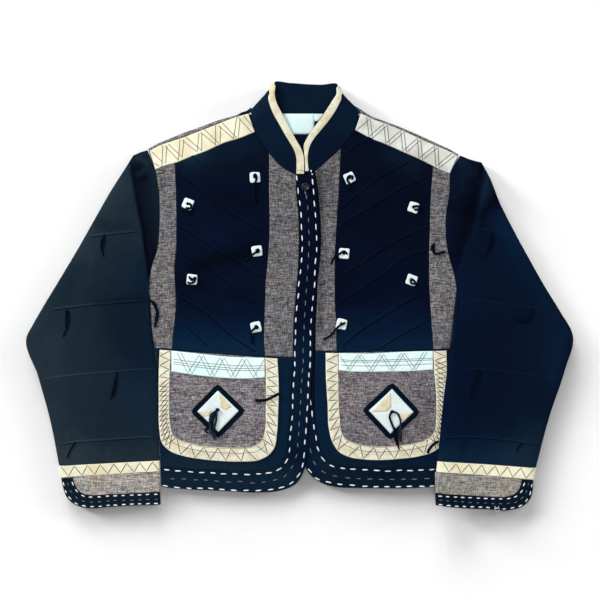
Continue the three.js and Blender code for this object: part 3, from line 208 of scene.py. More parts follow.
#  Cuffs: cream band corners (outer upper, inner upper, outer lower, inner lower), then the
#  tweed's lower edge with the edge band's outer line beside it, from the open outer corner in.
CUFF = {
  "left": {
    "cream": T("ox oy ix iy", [-373.4, -263.1, -217.8, -254.7], [-370.4, -280.6, -217.3, -271.2]),
    "edge": T("ix iy ox oy", [-352.6, -282.3, -370.1, -281.7], [-348.8, -292.6, -367.4, -295.7], [-342.6, -301.9, -361.2, -311.9], [-334, -307, -350.3, -322],
      [-323.9, -308.4, -329.4, -328.2], [-294.5, -307, -294.5, -326.4], [-260.4, -305.7, -260.4, -324.5], [-232.5, -304.2, -231, -323.6]),
    "end": [-217, -303.4, -216.1, -323.1],
  },
  "right": {
    "cream": T("ox oy ix iy", [365.8, -266.4, 212.2, -254.9], [362.1, -284.2, 210.3, -270.9]),
    "edge": T("ix iy ox oy", [344.1, -284.2, 361.6, -285.3], [342.2, -292.6, 360.8, -300.3], [338.7, -301.1, 356.5, -314.3], [331.7, -307.4, 347.2, -324.3],
      [320.9, -310.7, 326.3, -331.3], [289.9, -310.4, 289.9, -330.1], [255.8, -308.1, 255.8, -328.5], [224.8, -305.6, 225.5, -325.1]),
    "end": [208.6, -304, 209.7, -322.9],
  },
}
#  Pockets: outline stations from one mouth corner round the bottom to the other: the
#  border's inner edge (i) and outer edge (o).
POCKET = {
  "left": T("ix iy ox oy", [-200, -84.1, -217.3, -83], [-201.5, -115.9, -218.7, -115.9], [-202.3, -160.8, -218.7, -160.8], [-200.7, -199.6, -217.5, -208.9],
    [-197.6, -212, -214.4, -225.9], [-191.4, -219.7, -206.9, -235.5], [-182.9, -223.6, -196.8, -242.2], [-170.5, -227.5, -179.8, -247.6], [-147.2, -232.1, -150.3, -252.7],
    [-124, -233.7, -124, -255.1], [-93, -234.4, -88.4, -256.1], [-74.4, -232.9, -63.6, -253.8], [-63.6, -227.5, -49.6, -246.8], [-57.4, -219.7, -40.3, -236],
    [-54.2, -207.3, -35.6, -212], [-53, -176.3, -33.8, -179.4], [-52.7, -137.6, -32.9, -137.6], [-53.5, -95.4, -34.9, -96.3]),
  "right": T("ix iy ox oy", [206.6, -84.9, 226.9, -84.2], [207.7, -114.3, 227.8, -115.9], [210.8, -153.1, 227.8, -157.7], [210.8, -188.7, 227.8, -191.8],
    [209.2, -205.8, 227.1, -216.6], [203.8, -215.8, 218.6, -232.1], [195.3, -222, 203.8, -242.2], [179.8, -227, 186, -247.6], [155, -230.9, 158.1, -251.5],
    [124, -232.9, 124, -253.8], [102.3, -231.5, 97.7, -252.7], [83.7, -226.7, 76.7, -249.2], [71.3, -220.2, 60.5, -241.1], [64.8, -211.2, 50.5, -226.7],
    [62, -191.8, 44.6, -204.2], [60, -160.8, 42.8, -168.6], [59.5, -129.8, 40.3, -129.8], [58.9, -88.3, 39.7, -87.7]),
}
POCKET_TOP = {
  "left": T("x top bottom", [-199, -84.2, -116.3], [-170.5, -87.3, -120.8], [-139.5, -90.8, -124.4], [-99.2, -94.2, -127.3], [-77.5, -94.8, -127.3], [-54.6, -95.4, -125.5]),
  "right": T("x top bottom", [205.8, -84.9, -113.4], [170.5, -85.5, -115.9], [139.5, -87, -116.5], [108.5, -88.6, -116.8], [80.6, -88.3, -116.6], [60, -88, -114.6]),
}
#  Diamonds: centre, half diagonals of the frame outside and inside, and turn in degrees.
DIAMOND = {
  "left": { "x": -126.8, "y": -177.7, "outer": 42.2, "inner": 32.7, "turn": 0.8 },
  "right": { "x": 141.1, "y": -177.9, "outer": 44.8, "inner": 35.3, "turn": -2 },
}
SQUARES = (
  ["l1", -69.8, 184.1, 3], ["l2", -173.6, 143, -22], ["l3", -66.7, 70.1, 8], ["l4", -167.4, 26, -5], ["l5", -68.2, -47.7, 12],
  ["r1", 76.7, 183.3, 25], ["r2", 175.9, 137.6, -18], ["r3", 68.2, 66.3, -5], ["r4", 172.8, 25.2, -20], ["r5", 64.3, -43, -12])
LABEL = { "x0": -35.6, "x1": 22.3, "y0": 251.5, "y1": 281.2 }
TAB = { "x0": 22.2, "x1": 37.2, "y0": 271.6, "y1": 280.9 }
BUTTON = { "x": 8.5, "y": 169.3 }
#  Yarn ends: start, bend and free end.
YARN_ENDS = (
  ["tie_sleeve_left_1", -302.2, 96.5, -307.5, 82.5, -303.8, 60.8],
  ["tie_sleeve_left_2", -359.6, -21.3, -358.1, -39.9, -366.6, -63.2],
  ["tie_sleeve_left_3", -282.1, -115.9, -287.5, -136, -292.9, -160.8],
  ["tie_strip_left", -228.2, -8.9, -220.9, -24.4, -225.4, -49.2],
  ["tie_sleeve_right_1", 297.6, 99.6, 292.9, 81, 286.8, 60.8],
  ["tie_sleeve_right_2", 359.6, -19.8, 349.5, -38.4, 327.1, -32.9],
  ["tie_sleeve_right_3", 277.4, -115.9, 268.9, -134.5, 261.9, -156.2],
  ["tie_strip_right", 207.1, 81.6, 208.5, 66.1, 226.3, 70.1])
TASSEL = { "left": T("x y", [-129.4, -177.9], [-137.2, -184.1], [-140.3, -201.1], [-132.5, -221.3]), "right": T("x y", [139.5, -178.6], [150.3, -183.3], [148, -204.2], [152.7, -235.2]) }


# ------------------------------------------------------------------ surfaces of the part
def side_of(hand):
    up, low = col(FRONT[hand], "y", "side"), col(LOWER[hand], "y", "side")
    start = LOWER[hand]["y"][0]
    return lambda y: np.where(np.asarray(y) > start, up(y), low(y))


def edge_of(hand):
    up, low = col(FRONT[hand], "y", "c"), col(LOWER[hand], "y", "c")
    start = FRONT[hand]["y"][-1]
    return lambda y: np.where(np.asarray(y) > start, up(y), low(y))


SIDE = {h: side_of(h) for h, _ in HANDS}
EDGE = {h: edge_of(h) for h, _ in HANDS}
TOP_Y = {h: col(TOP[h], "x", "y") for h, _ in HANDS}


def puff(x, y):
    """How far the fronts stand off the back."""
    x, y = np.asarray(x, float), np.asarray(y, float)
    left = x < (EDGE["left"](y) + EDGE["right"](y)) / 2
    side = np.where(left, SIDE["left"](y), SIDE["right"](y))
    edge = np.where(left, EDGE["left"](y), EDGE["right"](y))
    top = np.where(left, TOP_Y["left"](x), TOP_Y["right"](x))
    across = np.sin(np.pi * clamp((x - side) / (edge - side)))
    return PUFF * across * smooth((y - HEM_Y) / 95) * smooth((top - y) / 95)


def front_mid(x, y):
    return [x, y, FRONT_Z + CLOTH / 2 + float(puff(x, y))]


# ------------------------------------------------------------------ curves and grids
def refine(P, axis, step, edge=(0.5, 1.2, 2.4), breaks=(), least=1, wrap=False):
    """A grid's sections joined by a smooth curve through them, with close rows at both ends."""
    P = np.moveaxis(np.asarray(P, float), axis, 0)
    if wrap:
        P = np.concatenate([P[-1:], P, P[:2]])
    R = len(P)
    h = np.maximum(np.linalg.norm(P[1:] - P[:-1], axis=-1, keepdims=True), 1e-6)
    d = (P[1:] - P[:-1]) / h
    m0, m1 = d.copy(), d.copy()
    for i in range(1, R - 1):
        if i in breaks:
            continue
        t = (d[i - 1] * h[i] + d[i] * h[i - 1]) / (h[i - 1] + h[i])
        m1[i - 1], m0[i] = t, t
    out = []
    for i in (range(1, R - 2) if wrap else range(R - 1)):
        L = float(h[i].mean())
        n = max(least, int(round(L / step)))
        f = set((np.arange(n) / n).tolist())
        if not wrap and i == 0:
            f |= {e / L for e in edge if e < L * 0.7}
        if not wrap and i == R - 2:
            f |= {1 - e / L for e in edge if e < L * 0.7}
        for t in sorted(f):
            t2, t3 = t * t, t * t * t
            out.append((2 * t3 - 3 * t2 + 1) * P[i] + (t3 - 2 * t2 + t) * h[i] * m0[i] + (3 * t2 - 2 * t3) * P[i + 1] + (t3 - t2) * h[i] * m1[i])
    if not wrap:
        out.append(P[-1])
    return np.moveaxis(np.array(out), 0, axis)


def dense(P, step=3.2, row_breaks=(), col_breaks=(), least=(1, 1), wrap=False):
    P = refine(P, 0, step, breaks=row_breaks, least=least[0])
    return refine(P, 1, step, breaks=col_breaks, least=least[1], wrap=wrap)


def wave(x, y, length, seed):
    """A gentle uneven rise and fall of about one, with no regular repeat."""
    z = np.zeros_like(x)
    for k in range(7):
        a = seed * 1.7 + k * 2.399
        w = 2 * math.pi / (length * (0.62 + 0.17 * k))
        z += np.sin(w * (x * math.cos(a) + y * math.sin(a)) + seed * 3.1 + k * 1.9) / (1 + 0.25 * k)
    return z / 2.6


def along(path):
    p = np.asarray(path, float).reshape(-1, 2)
    return p


def nearest(path, x, y):
    """Distance to a polyline, the share of its length reached there, and the side of it."""
    p = along(path)
    seg = p[1:] - p[:-1]
    L = np.linalg.norm(seg, axis=1)
    start = np.concatenate([[0], np.cumsum(L)])
    best = np.full(x.shape, 1e9)
    at, sign = np.zeros_like(x), np.zeros_like(x)
    for i in range(len(seg)):
        dx, dy = x - p[i, 0], y - p[i, 1]
        t = clamp((dx * seg[i, 0] + dy * seg[i, 1]) / (L[i] ** 2))
        ex, ey = dx - t * seg[i, 0], dy - t * seg[i, 1]
        dist = np.hypot(ex, ey)
        better = dist < best
        best = np.where(better, dist, best)
        at = np.where(better, (start[i] + t * L[i]) / start[-1], at)
        sign = np.where(better, np.sign(seg[i, 0] * ey - seg[i, 1] * ex), sign)
    return best, at, sign


def strokes(rows, x, y, ends=0.3):
    """Sum of soft strokes: each has its amount, width and path, and may keep to one side of its path."""
    z = np.zeros_like(x)
    for amount, width, path, *side in rows:
        d, at, sign = nearest(path, x, y)
        taper = smooth(at / ends) * smooth((1 - at) / ends) if ends else 1.0
        one = smooth(0.5 + side[0] * sign * d / 3.4) if side else 1.0
        z += amount * taper * one * np.exp(-((d / width) ** 2))
    return z


def paint(obj, look):
    """How light the cloth is (tone) and how blue (hue), as soft strokes; those along folds, tucks and edges are painted
    shade and highlight.
    """
    tone, hue, tones, hues = look
    co = np.empty(len(obj.data.vertices) * 3)
    obj.data.vertices.foreach_get("co", co)
    x, y = co[0::3] / MM, co[1::3] / MM
    for name, base, rows in (("tone", tone, tones), ("hue", hue, hues)):
        value = clamp(base + (strokes(rows, x, y, 0.0) if rows else 0.0 * x))
        attr = obj.data.attributes.get(name) or obj.data.attributes.new(name, "FLOAT", "POINT")
        attr.data.foreach_set("value", np.asarray(value, np.float32))


PLAIN_LOOK = (0.5, 0.0, (), ())
TONES_AND_PAINTED_SHADE = {}


# ------------------------------------------------------------------ meshes
PIECES, GROUND, FLAT = {}, {}, {}


def new_object(name, verts, faces, material, smooth_faces=True):
    mesh = bpy.data.meshes.new(name)
    mesh.from_pydata((np.asarray(verts, float) * MM).tolist(), [], faces if isinstance(faces, list) else faces.tolist())
    mesh.materials.append(material)
    if smooth_faces:
        mesh.shade_smooth()
    mesh.update()
    obj = bpy.data.objects.new(name, mesh)
    bpy.context.scene.collection.objects.link(obj)
    paint(obj, PLAIN_LOOK)
    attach(obj, "root")
    PIECES[name] = obj
    return obj


def grid_faces(R, C, wrap, base=0, flip=False):
    r = np.arange(R - 1)[:, None]
    c = np.arange(C if wrap else C - 1)[None, :]
    c2 = (c + 1) % C
    a, b, d, e = base + r * C + c, base + r * C + c2, base + (r + 1) * C + c2, base + (r + 1) * C + c
    q = np.stack([a, b, d, e], -1).reshape(-1, 4)
    return q[:, ::-1] if flip else q


def arc(P, axis, wrap=False):
    d = np.linalg.norm(np.diff(P, axis=axis), axis=-1)
    total = d.sum(axis)
    if wrap:
        total = total + np.linalg.norm(np.take(P, 0, axis) - np.take(P, -1, axis), axis=-1)
    return total


def shell(node, mid, thick, material, upright=True, wrap=False, roll=1.3, folds=(), ripple=0.25, top_only=False, rests=("cloth_back_body",), floor=None):
    """A thin closed cloth shell on its middle surface: rolled edges, folds and a soft ripple."""
    P = np.array(mid, float)
    R, C = P.shape[:2]
    du = np.roll(P, -1, 1) - np.roll(P, 1, 1) if wrap else np.gradient(P, axis=1)
    dv = np.gradient(P, axis=0)
    N = np.cross(du, dv)
    N /= np.maximum(np.linalg.norm(N, axis=-1, keepdims=True), 1e-9)
    if wrap:
        centre = P.mean(1, keepdims=True)
        if ((P - centre) * N).sum() < 0:
            N = -N
    elif (upright and N[..., 2].mean() < 0) or (not upright and N[: max(1, R // 5), :, 2].mean() < 0):
        N = -N
    x, y = P[..., 0], P[..., 1]
    up = smooth((N[..., 2] - 0.2) / 0.7) if top_only else np.ones_like(x)
    edge = np.full((R, C), 1e9)
    s = np.concatenate([np.zeros((1, C)), np.cumsum(np.linalg.norm(np.diff(P, axis=0), axis=-1), 0)])
    edge = np.minimum(edge, np.minimum(s, s[-1:] - s))
    if not wrap:
        s = np.concatenate([np.zeros((R, 1)), np.cumsum(np.linalg.norm(np.diff(P, axis=1), axis=-1), 1)], 1)
        edge = np.minimum(edge, np.minimum(s, s[:, -1:] - s))
    inland = smooth(edge / 14.0)
    dz = (strokes(folds, x, y) + ripple * wave(x, y, 46.0, 1.0 + (hash_of(node) % 7)) * 1.0 + 0.4 * ripple * wave(x, y, 15.0, 2.0 + (hash_of(node) % 5))) * up * (0.12 + 0.88 * inland)
    P[..., 2] += dz
    P[..., 2] = np.maximum(P[..., 2], (floor or 0.0) + thick / 2)
    direction = np.zeros_like(P)
    if upright:
        direction[..., 2] = 1
    else:
        direction = N
    q = clamp(edge / roll)
    rounding = np.sqrt(np.maximum(0, 1 - (1 - q) ** 2))
    if upright:
        top = P + direction * (thick / 2 - thick * 0.72 * (1 - rounding))[..., None]
        low = P - direction * (thick / 2)
    else:
        half = (thick / 2 * (0.3 + 0.7 * rounding))[..., None]
        top, low = P + direction * half, P - direction * half
    top[..., 2], low[..., 2] = np.maximum(top[..., 2], 0.04), np.maximum(low[..., 2], 0.0)
    verts = np.concatenate([top.reshape(-1, 3), low.reshape(-1, 3)])
    n = R * C
    outward = True
    if not wrap and upright:
        outward = np.cross(P[0, 1] - P[0, 0], P[1, 0] - P[0, 0])[2] * 1 > 0
        sample = np.cross(P[R // 2, C // 2 + 1 if C // 2 + 1 < C else C - 1] - P[R // 2, C // 2], P[min(R // 2 + 1, R - 1), C // 2] - P[R // 2, C // 2])
        outward = sample[2] > 0
    elif wrap:
        u = P[R // 2, 1] - P[R // 2, 0]
        v = P[min(R // 2 + 1, R - 1), 0] - P[R // 2, 0]
        outward = np.dot(np.cross(u, v), N[R // 2, 0]) > 0
    faces = [grid_faces(R, C, wrap, 0, not outward), grid_faces(R, C, wrap, n, outward)]
    rim = []
    if wrap:
        for r0 in (0, R - 1):
            ids = np.arange(C)
            nx = (ids + 1) % C
            a, b = r0 * C + ids, r0 * C + nx
            quad = np.stack([a, b, b + n, a + n], -1)
            rim.append(quad if (r0 == 0) != outward else quad[:, ::-1])
        rim = [quad[:, ::-1] for quad in rim]
    else:
        loop = [(0, c) for c in range(C)] + [(r, C - 1) for r in range(1, R)] + [(R - 1, c) for c in range(C - 2, -1, -1)] + [(r, 0) for r in range(R - 2, 0, -1)]
        ids = np.array([r * C + c for r, c in loop])
        nx = np.roll(ids, -1)
        quad = np.stack([nx, ids, ids + n, nx + n], -1)
        rim = [quad if outward else quad[:, ::-1]]
    faces = np.concatenate(faces + rim)
    name = "cloth_" + node
    obj = new_object(name, verts, faces, material)
    paint(obj, TONES_AND_PAINTED_SHADE.get(node, PLAIN_LOOK))
    if not upright:
        face_out(obj)
    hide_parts(node)
    GROUND[node] = BVHTree.FromPolygons(verts.tolist(), grid_faces(R, C, wrap, 0).tolist())
    w, l = float(arc(P, 1, wrap).max()), float(arc(P, 0).max())
    a = P[:-1, :-1] if not wrap else P[:-1]
    b = P[:-1, 1:] if not wrap else np.roll(P, -1, 1)[:-1]
    c = P[1:, 1:] if not wrap else np.roll(P, -1, 1)[1:]
    d = P[1:, :-1] if not wrap else P[1:]
    area = float((np.linalg.norm(np.cross(b - a, c - a), axis=-1) + np.linalg.norm(np.cross(c - a, d - a), axis=-1)).sum() / 2)
    FLAT[node] = (name, w, l, area, tuple(rests))
    return obj


def face_out(obj, merge=0.0):
    bm = bmesh.new()
    bm.from_mesh(obj.data)
    if merge:
        bmesh.ops.remove_doubles(bm, verts=bm.verts, dist=merge)
        bmesh.ops.dissolve_degenerate(bm, edges=bm.edges, dist=1e-7)
    bmesh.ops.recalc_face_normals(bm, faces=bm.faces)
    bm.to_mesh(obj.data)
    bm.free()


def hash_of(text):
    return sum((i + 1) * ord(ch) for i, ch in enumerate(text))


def drop(names, x, y, lift=0.0):
    """Height of the cloth seen from above at x, y, on the named pieces."""
    best = None
    for n in names if isinstance(names, (list, tuple)) else [names]:
        hit = GROUND[n].ray_cast(Vector((x, y, 80.0)), Vector((0, 0, -1)))[0]
        if hit is not None and (best is None or hit.z > best):
            best = hit.z
        if hit is None and best is None:
            near = GROUND[n].find_nearest(Vector((x, y, 8.0)))[0]
            if near is not None and (Vector((near.x - x, near.y - y)).length < 9):
                best = near.z
    return (best if best is not None else FRONT_Z + CLOTH) + lift


# ------------------------------------------------------------------ materials
def srgb(r, g, b):
    f = lambda c: (c / 255) / 12.92 if c <= 10.3 else ((c / 255 + 0.055) / 1.055) ** 2.4
    return (f(r), f(g), f(b), 1.0)


class Mat:
    """A small helper that adds nodes to a Principled material."""

    def __init__(self, name, rough=0.9, spec=0.12):
        self.m = bpy.data.materials.new(name)
        self.m.use_nodes = True
        self.t = self.m.node_tree
        self.b = self.t.nodes["Principled BSDF"]
        self.b.inputs["Roughness"].default_value = rough
        self.b.inputs["Specular IOR Level"].default_value = spec
        self.co = self.add("ShaderNodeTexCoord").outputs["Object"]

    def add(self, kind, **values):
        n = self.t.nodes.new(kind)
        for k, v in values.items():
            setattr(n, k, v)
        return n

    def link(self, a, b):
        self.t.links.new(a, b)

    def scaled(self, sx, sy, sz=1000.0, turn=0.0):
        n = self.add("ShaderNodeMapping")
        n.inputs["Scale"].default_value = (sx, sy, sz)
        n.inputs["Rotation"].default_value = (0, 0, turn)
        self.link(self.co, n.inputs["Vector"])
        return n.outputs["Vector"]

    def noise(self, scale, detail=3.0, rough=0.55, vector=None, distortion=0.0):
        n = self.add("ShaderNodeTexNoise")
        n.inputs["Scale"].default_value = scale
        n.inputs["Detail"].default_value = detail
        n.inputs["Roughness"].default_value = rough
        n.inputs["Distortion"].default_value = distortion
        self.link(vector or self.co, n.inputs["Vector"])
        return n.outputs["Fac"]

    def bands(self, axis, period, distortion=0.0, detail_scale=1.0, turn=0.0):
        n = self.add("ShaderNodeTexWave", wave_type="BANDS", bands_direction=axis, wave_profile="SIN")
        n.inputs["Scale"].default_value = 0.314159 / period
        n.inputs["Distortion"].default_value = distortion
        n.inputs["Detail"].default_value = 2.0
        n.inputs["Detail Scale"].default_value = detail_scale
        self.link(self.scaled(1, 1, 1, turn) if turn else self.co, n.inputs["Vector"])
        return n.outputs["Fac"]

    def ramp(self, fac, *stops):
        n = self.add("ShaderNodeValToRGB")
        e = n.color_ramp.elements
        while len(e) < len(stops):
            e.new(0.5)
        for k, (p, c) in enumerate(stops):
            e[k].position, e[k].color = p, c
        self.link(fac, n.inputs["Fac"])
        return n.outputs["Color"]

    def mix(self, fac, a, b, mode="MIX"):
        n = self.add("ShaderNodeMix", data_type="RGBA", blend_type=mode)
        inp = {s.identifier: s for s in n.inputs}
        for key, v in (("Factor_Float", fac), ("A_Color", a), ("B_Color", b)):
            if isinstance(v, (tuple, list, float, int)):
                inp[key].default_value = v
            else:
                self.link(v, inp[key])
        return {s.identifier: s for s in n.outputs}["Result_Color"]

    def math(self, op, a, b):
        n = self.add("ShaderNodeMath", operation=op)
        for s, v in zip(n.inputs, (a, b)):
            if isinstance(v, (int, float)):
                s.default_value = v
            else:
                self.link(v, s)
        return n.outputs["Value"]

    def colour(self, out):
        self.link(out, self.b.inputs["Base Color"])

    def bump(self, height, strength=0.4, distance=0.0004):
        n = self.add("ShaderNodeBump")
        n.inputs["Strength"].default_value = strength
        n.inputs["Distance"].default_value = distance
        self.link(height, n.inputs["Height"])
        self.link(n.outputs["Normal"], self.b.inputs["Normal"])


NAVY_RAMP = ((0.0, srgb(3, 6, 13)), (0.25, srgb(8, 15, 28)), (0.5, srgb(16, 30, 43)), (0.75, srgb(27, 42, 53)), (1.0, srgb(47, 59, 67)))
BLUE_RAMP = ((0.0, srgb(4, 7, 20)), (0.25, srgb(7, 15, 38)), (0.5, srgb(7, 29, 54)), (0.75, srgb(14, 44, 70)), (1.0, srgb(32, 60, 84)))


def cotton(name, uneven=0.2, patch=9.0, weave=0.00085, turn=0.0, grain=0.25, wrinkle=0.9, spec=0.02):
    """Dyed cotton: its lightness and blueness come from the tone and hue painted on the piece, which hold painted shade
    and highlight, with soft uneven dye, fine flecks, small wrinkles and a plain weave."""
    m = Mat(name, 0.95, spec)
    tone = m.add("ShaderNodeAttribute", attribute_name="tone").outputs["Fac"]
    hue = m.add("ShaderNodeAttribute", attribute_name="hue").outputs["Fac"]
    big, mid = m.noise(patch, 3.0, 0.6, distortion=0.4), m.noise(60.0, 4.0, 0.65)
    t = m.math("ADD", tone, m.math("MULTIPLY", m.math("SUBTRACT", big, 0.5), uneven))
    t = m.math("ADD", t, m.math("MULTIPLY", m.math("SUBTRACT", mid, 0.5), uneven * 0.7))
    dyed = m.mix(hue, m.ramp(t, *NAVY_RAMP), m.ramp(t, *BLUE_RAMP))
    lint = m.ramp(m.noise(620.0, 2.0, 0.7), (0.30, (0.72, 0.72, 0.72, 1)), (0.55, (1, 1, 1, 1)), (0.80, (1.35, 1.35, 1.35, 1)))
    m.colour(m.mix(1.0, dyed, lint, "MULTIPLY"))
    warp, weft = m.bands("X", weave, 0.5, turn=turn), m.bands("Y", weave, 0.5, turn=turn)
    h = m.math("ADD", m.math("MULTIPLY", m.math("MULTIPLY", warp, weft), 0.6), m.math("MULTIPLY", m.noise(900.0, 2.0), grain * 2))
    h = m.math("ADD", h, m.math("MULTIPLY", m.noise(80.0, 3.0), wrinkle * 2.0))
    m.bump(h, 0.5, 0.0007)
    m.b.inputs["Sheen Weight"].default_value = 0.012
    m.b.inputs["Sheen Roughness"].default_value = 0.5
    return m.m


def shaded(m, out, low=0.35, high=1.65):
    """A pale cloth's colour made darker or lighter by the tone painted on the piece, which holds painted shade and
    highlight.
    """
    tone = m.add("ShaderNodeAttribute", attribute_name="tone").outputs["Fac"]
    return m.mix(1.0, out, m.ramp(tone, (0.0, (low, low, low * 1.03, 1)), (0.5, (1, 1, 1, 1)), (1.0, (high, high, high * 0.98, 1))), "MULTIPLY")


def tweed(name, dark, base, light, warm, turn=0.0):
    """Speckled tweed: slubs that run both ways, pale threads now and then, dark flecks and warm patches."""
    m = Mat(name, 0.95, 0.06)
    across = m.noise(1.0, 2.0, 0.55, vector=m.scaled(110, 860, 110, turn))
    down = m.noise(1.0, 2.0, 0.55, vector=m.scaled(860, 150, 150, turn))
    speck = m.noise(1.0, 2.0, 0.6, vector=m.scaled(700, 700, 500, turn))
    thread = m.math("ADD", m.math("MULTIPLY", across, 0.45), m.math("MULTIPLY", down, 0.38))
    mixd = m.math("ADD", thread, m.math("MULTIPLY", speck, 0.17))
    tone = m.ramp(mixd, (0.40, dark), (0.50, base), (0.60, light))
    pale = m.ramp(m.noise(1.0, 2.0, 0.5, vector=m.scaled(30, 560, 30, turn)), (0.58, (1, 1, 1, 1)), (0.70, (1.34, 1.33, 1.32, 1)))
    cloud = m.ramp(m.noise(17.0, 3.0, 0.6), (0.36, (0.93, 0.95, 1.0, 1)), (0.64, warm))
    burr = m.ramp(m.noise(300.0, 1.0, 0.5), (0.25, (0.30, 0.28, 0.28, 1)), (0.29, (1, 1, 1, 1)))
    out = m.mix(1.0, m.mix(1.0, m.mix(1.0, tone, pale, "MULTIPLY"), cloud, "MULTIPLY"), burr, "MULTIPLY")
    m.colour(shaded(m, out))
    m.bump(m.math("ADD", m.math("MULTIPLY", thread, 2.2), speck), 0.7, 0.0008)
    m.b.inputs["Sheen Weight"].default_value = 0.03
    return m.m


def plain(name, base, patch, amount=0.5, patch_scale=16.0, weave=0.0009, spec=0.08, crush=1.0):
    """Pale cotton with faint stained patches, soft puckers and a fine weave."""
    m = Mat(name, 0.88, spec)
    big = m.noise(patch_scale, 3.0, 0.55, distortion=0.6)
    tone = m.ramp(big, (0.44, base), (0.44 + 0.26 * (1.3 - amount), patch))
    fine = m.noise(380.0, 2.0, 0.6)
    tint = m.ramp(fine, (0.3, (0.94, 0.94, 0.93, 1)), (0.7, (1.01, 1.01, 1.01, 1)))
    m.colour(shaded(m, m.mix(1.0, tone, tint, "MULTIPLY"), 0.3, 1.25))
    warp, weft = m.bands("X", weave, 0.4), m.bands("Y", weave, 0.4)
    h = m.math("ADD", m.math("MULTIPLY", m.math("MULTIPLY", warp, weft), 0.5), m.math("MULTIPLY", m.noise(110.0, 3.0), 1.6 * crush))
    m.bump(h, 0.55, 0.0009)
    return m.m


def fibre(name, dark, light, scale=900.0, rough=0.9, spec=0.15, strength=0.6):
    """Yarn and thread: twisted fibres, with painted shade that darkens the hollows of the twist."""
    m = Mat(name, rough, spec)
    tw = m.noise(1.0, 2.0, 0.6, vector=m.scaled(scale, scale * 0.35, scale, 0.6))
    m.colour(m.ramp(tw, (0.3, dark), (0.7, light)))
    m.bump(m.math("ADD", tw, m.bands("DIAGONAL", 0.0011, 1.0)), strength, 0.0004)
    return m.m


NAVY_LEFT = cotton("navy_sleeve_left", 0.16, 7.0, spec=0.04)
NAVY_RIGHT = cotton("navy_sleeve_right", 0.12, 7.0)
NAVY_LOW = cotton("navy_lower", 0.2, 11.0)
NAVY_COLLAR = cotton("navy_collar", 0.14, 13.0)
NAVY_BACK = cotton("navy_back", 0.14, 9.0)
INDIGO = cotton("indigo_panel", 0.16, 10.0)
BAND = cotton("band_cloth", 0.12, 12.0)
# near-black cloth for the painted shadow lines under the tucks and the sleeves' head folds
PAINTED_SHADE_CLOTH = cotton("tuck_shadow", 0.05, 20.0)
# one tweed in three copies; the cuff copy is lighter as painted light, the cuffs lying in brighter light
TWEED = tweed("tweed_strip", srgb(54, 53, 56), srgb(101, 100, 103), srgb(152, 150, 150), (1.05, 0.99, 0.95, 1))
TWEED_POCKET = tweed("tweed_pocket", srgb(60, 58, 63), srgb(112, 108, 112), srgb(168, 164, 165), (1.03, 0.98, 0.96, 1))
TWEED_CUFF = tweed("tweed_cuff", srgb(96, 93, 88), srgb(148, 144, 138), srgb(198, 194, 186), (1.05, 1.0, 0.95, 1))
CREAM = plain("cream_cotton", srgb(254, 251, 224), srgb(243, 232, 196), 0.5, 34.0)
CREAM_BORDER = plain("cream_border", srgb(250, 247, 228), srgb(234, 224, 194), 0.7, 90.0, crush=2.4)
CREAM_PALE = plain("cream_pale_cotton", srgb(240, 243, 238), srgb(212, 212, 202), 0.5, 26.0)
WHITE = plain("white_cotton", srgb(244, 255, 255), srgb(232, 252, 254), 0.5, 18.0)
WHITE_MOUTH = plain("white_mouth_cotton", srgb(238, 255, 255), srgb(224, 253, 255), 0.5, 18.0)
LABEL_CLOTH = plain("label_tape", srgb(232, 255, 255), srgb(222, 250, 252), 0.5, 18.0, crush=0.6)
BEIGE = plain("beige_cotton", srgb(232, 220, 184), srgb(246, 240, 216), 0.5, 60.0)
BINDING_CLOTH = plain("binding_cotton", srgb(238, 237, 216), srgb(222, 206, 166), 0.45, 55.0)
YARN = fibre("dark_yarn", srgb(2, 8, 20), srgb(9, 21, 38), spec=0.03)
YARN_SLATE = fibre("slate_yarn", srgb(14, 26, 40), srgb(38, 56, 72))
FELT = fibre("dark_felt", srgb(2, 11, 26), srgb(9, 24, 42), 700.0, spec=0.04)
STITCH = fibre("white_thread", srgb(222, 232, 238), srgb(252, 255, 255), 1500.0, 0.7, 0.2, 0.35)
STITCH_DIM = fibre("grey_thread", srgb(84, 98, 108), srgb(126, 140, 148), 1500.0)
ZIG = fibre("olive_thread", srgb(46, 44, 32), srgb(82, 78, 58), 1500.0)
ZIG_BROWN = fibre("brown_thread", srgb(74, 66, 50), srgb(112, 102, 82), 1500.0)
ZIG_BLUE = fibre("grey_blue_thread", srgb(92, 116, 116), srgb(130, 152, 152), 1500.0)
SEAM_THREAD = fibre("dark_thread", srgb(8, 14, 28), srgb(22, 30, 44), 1500.0)
HORN = Mat("button_horn", 0.34, 0.3)
HORN.colour(HORN.ramp(HORN.noise(260.0, 3.0, 0.6), (0.35, srgb(6, 9, 17)), (0.7, srgb(22, 28, 38))))
HORN.bump(HORN.noise(500.0, 2.0), 0.1, 0.0002)
HORN = HORN.m
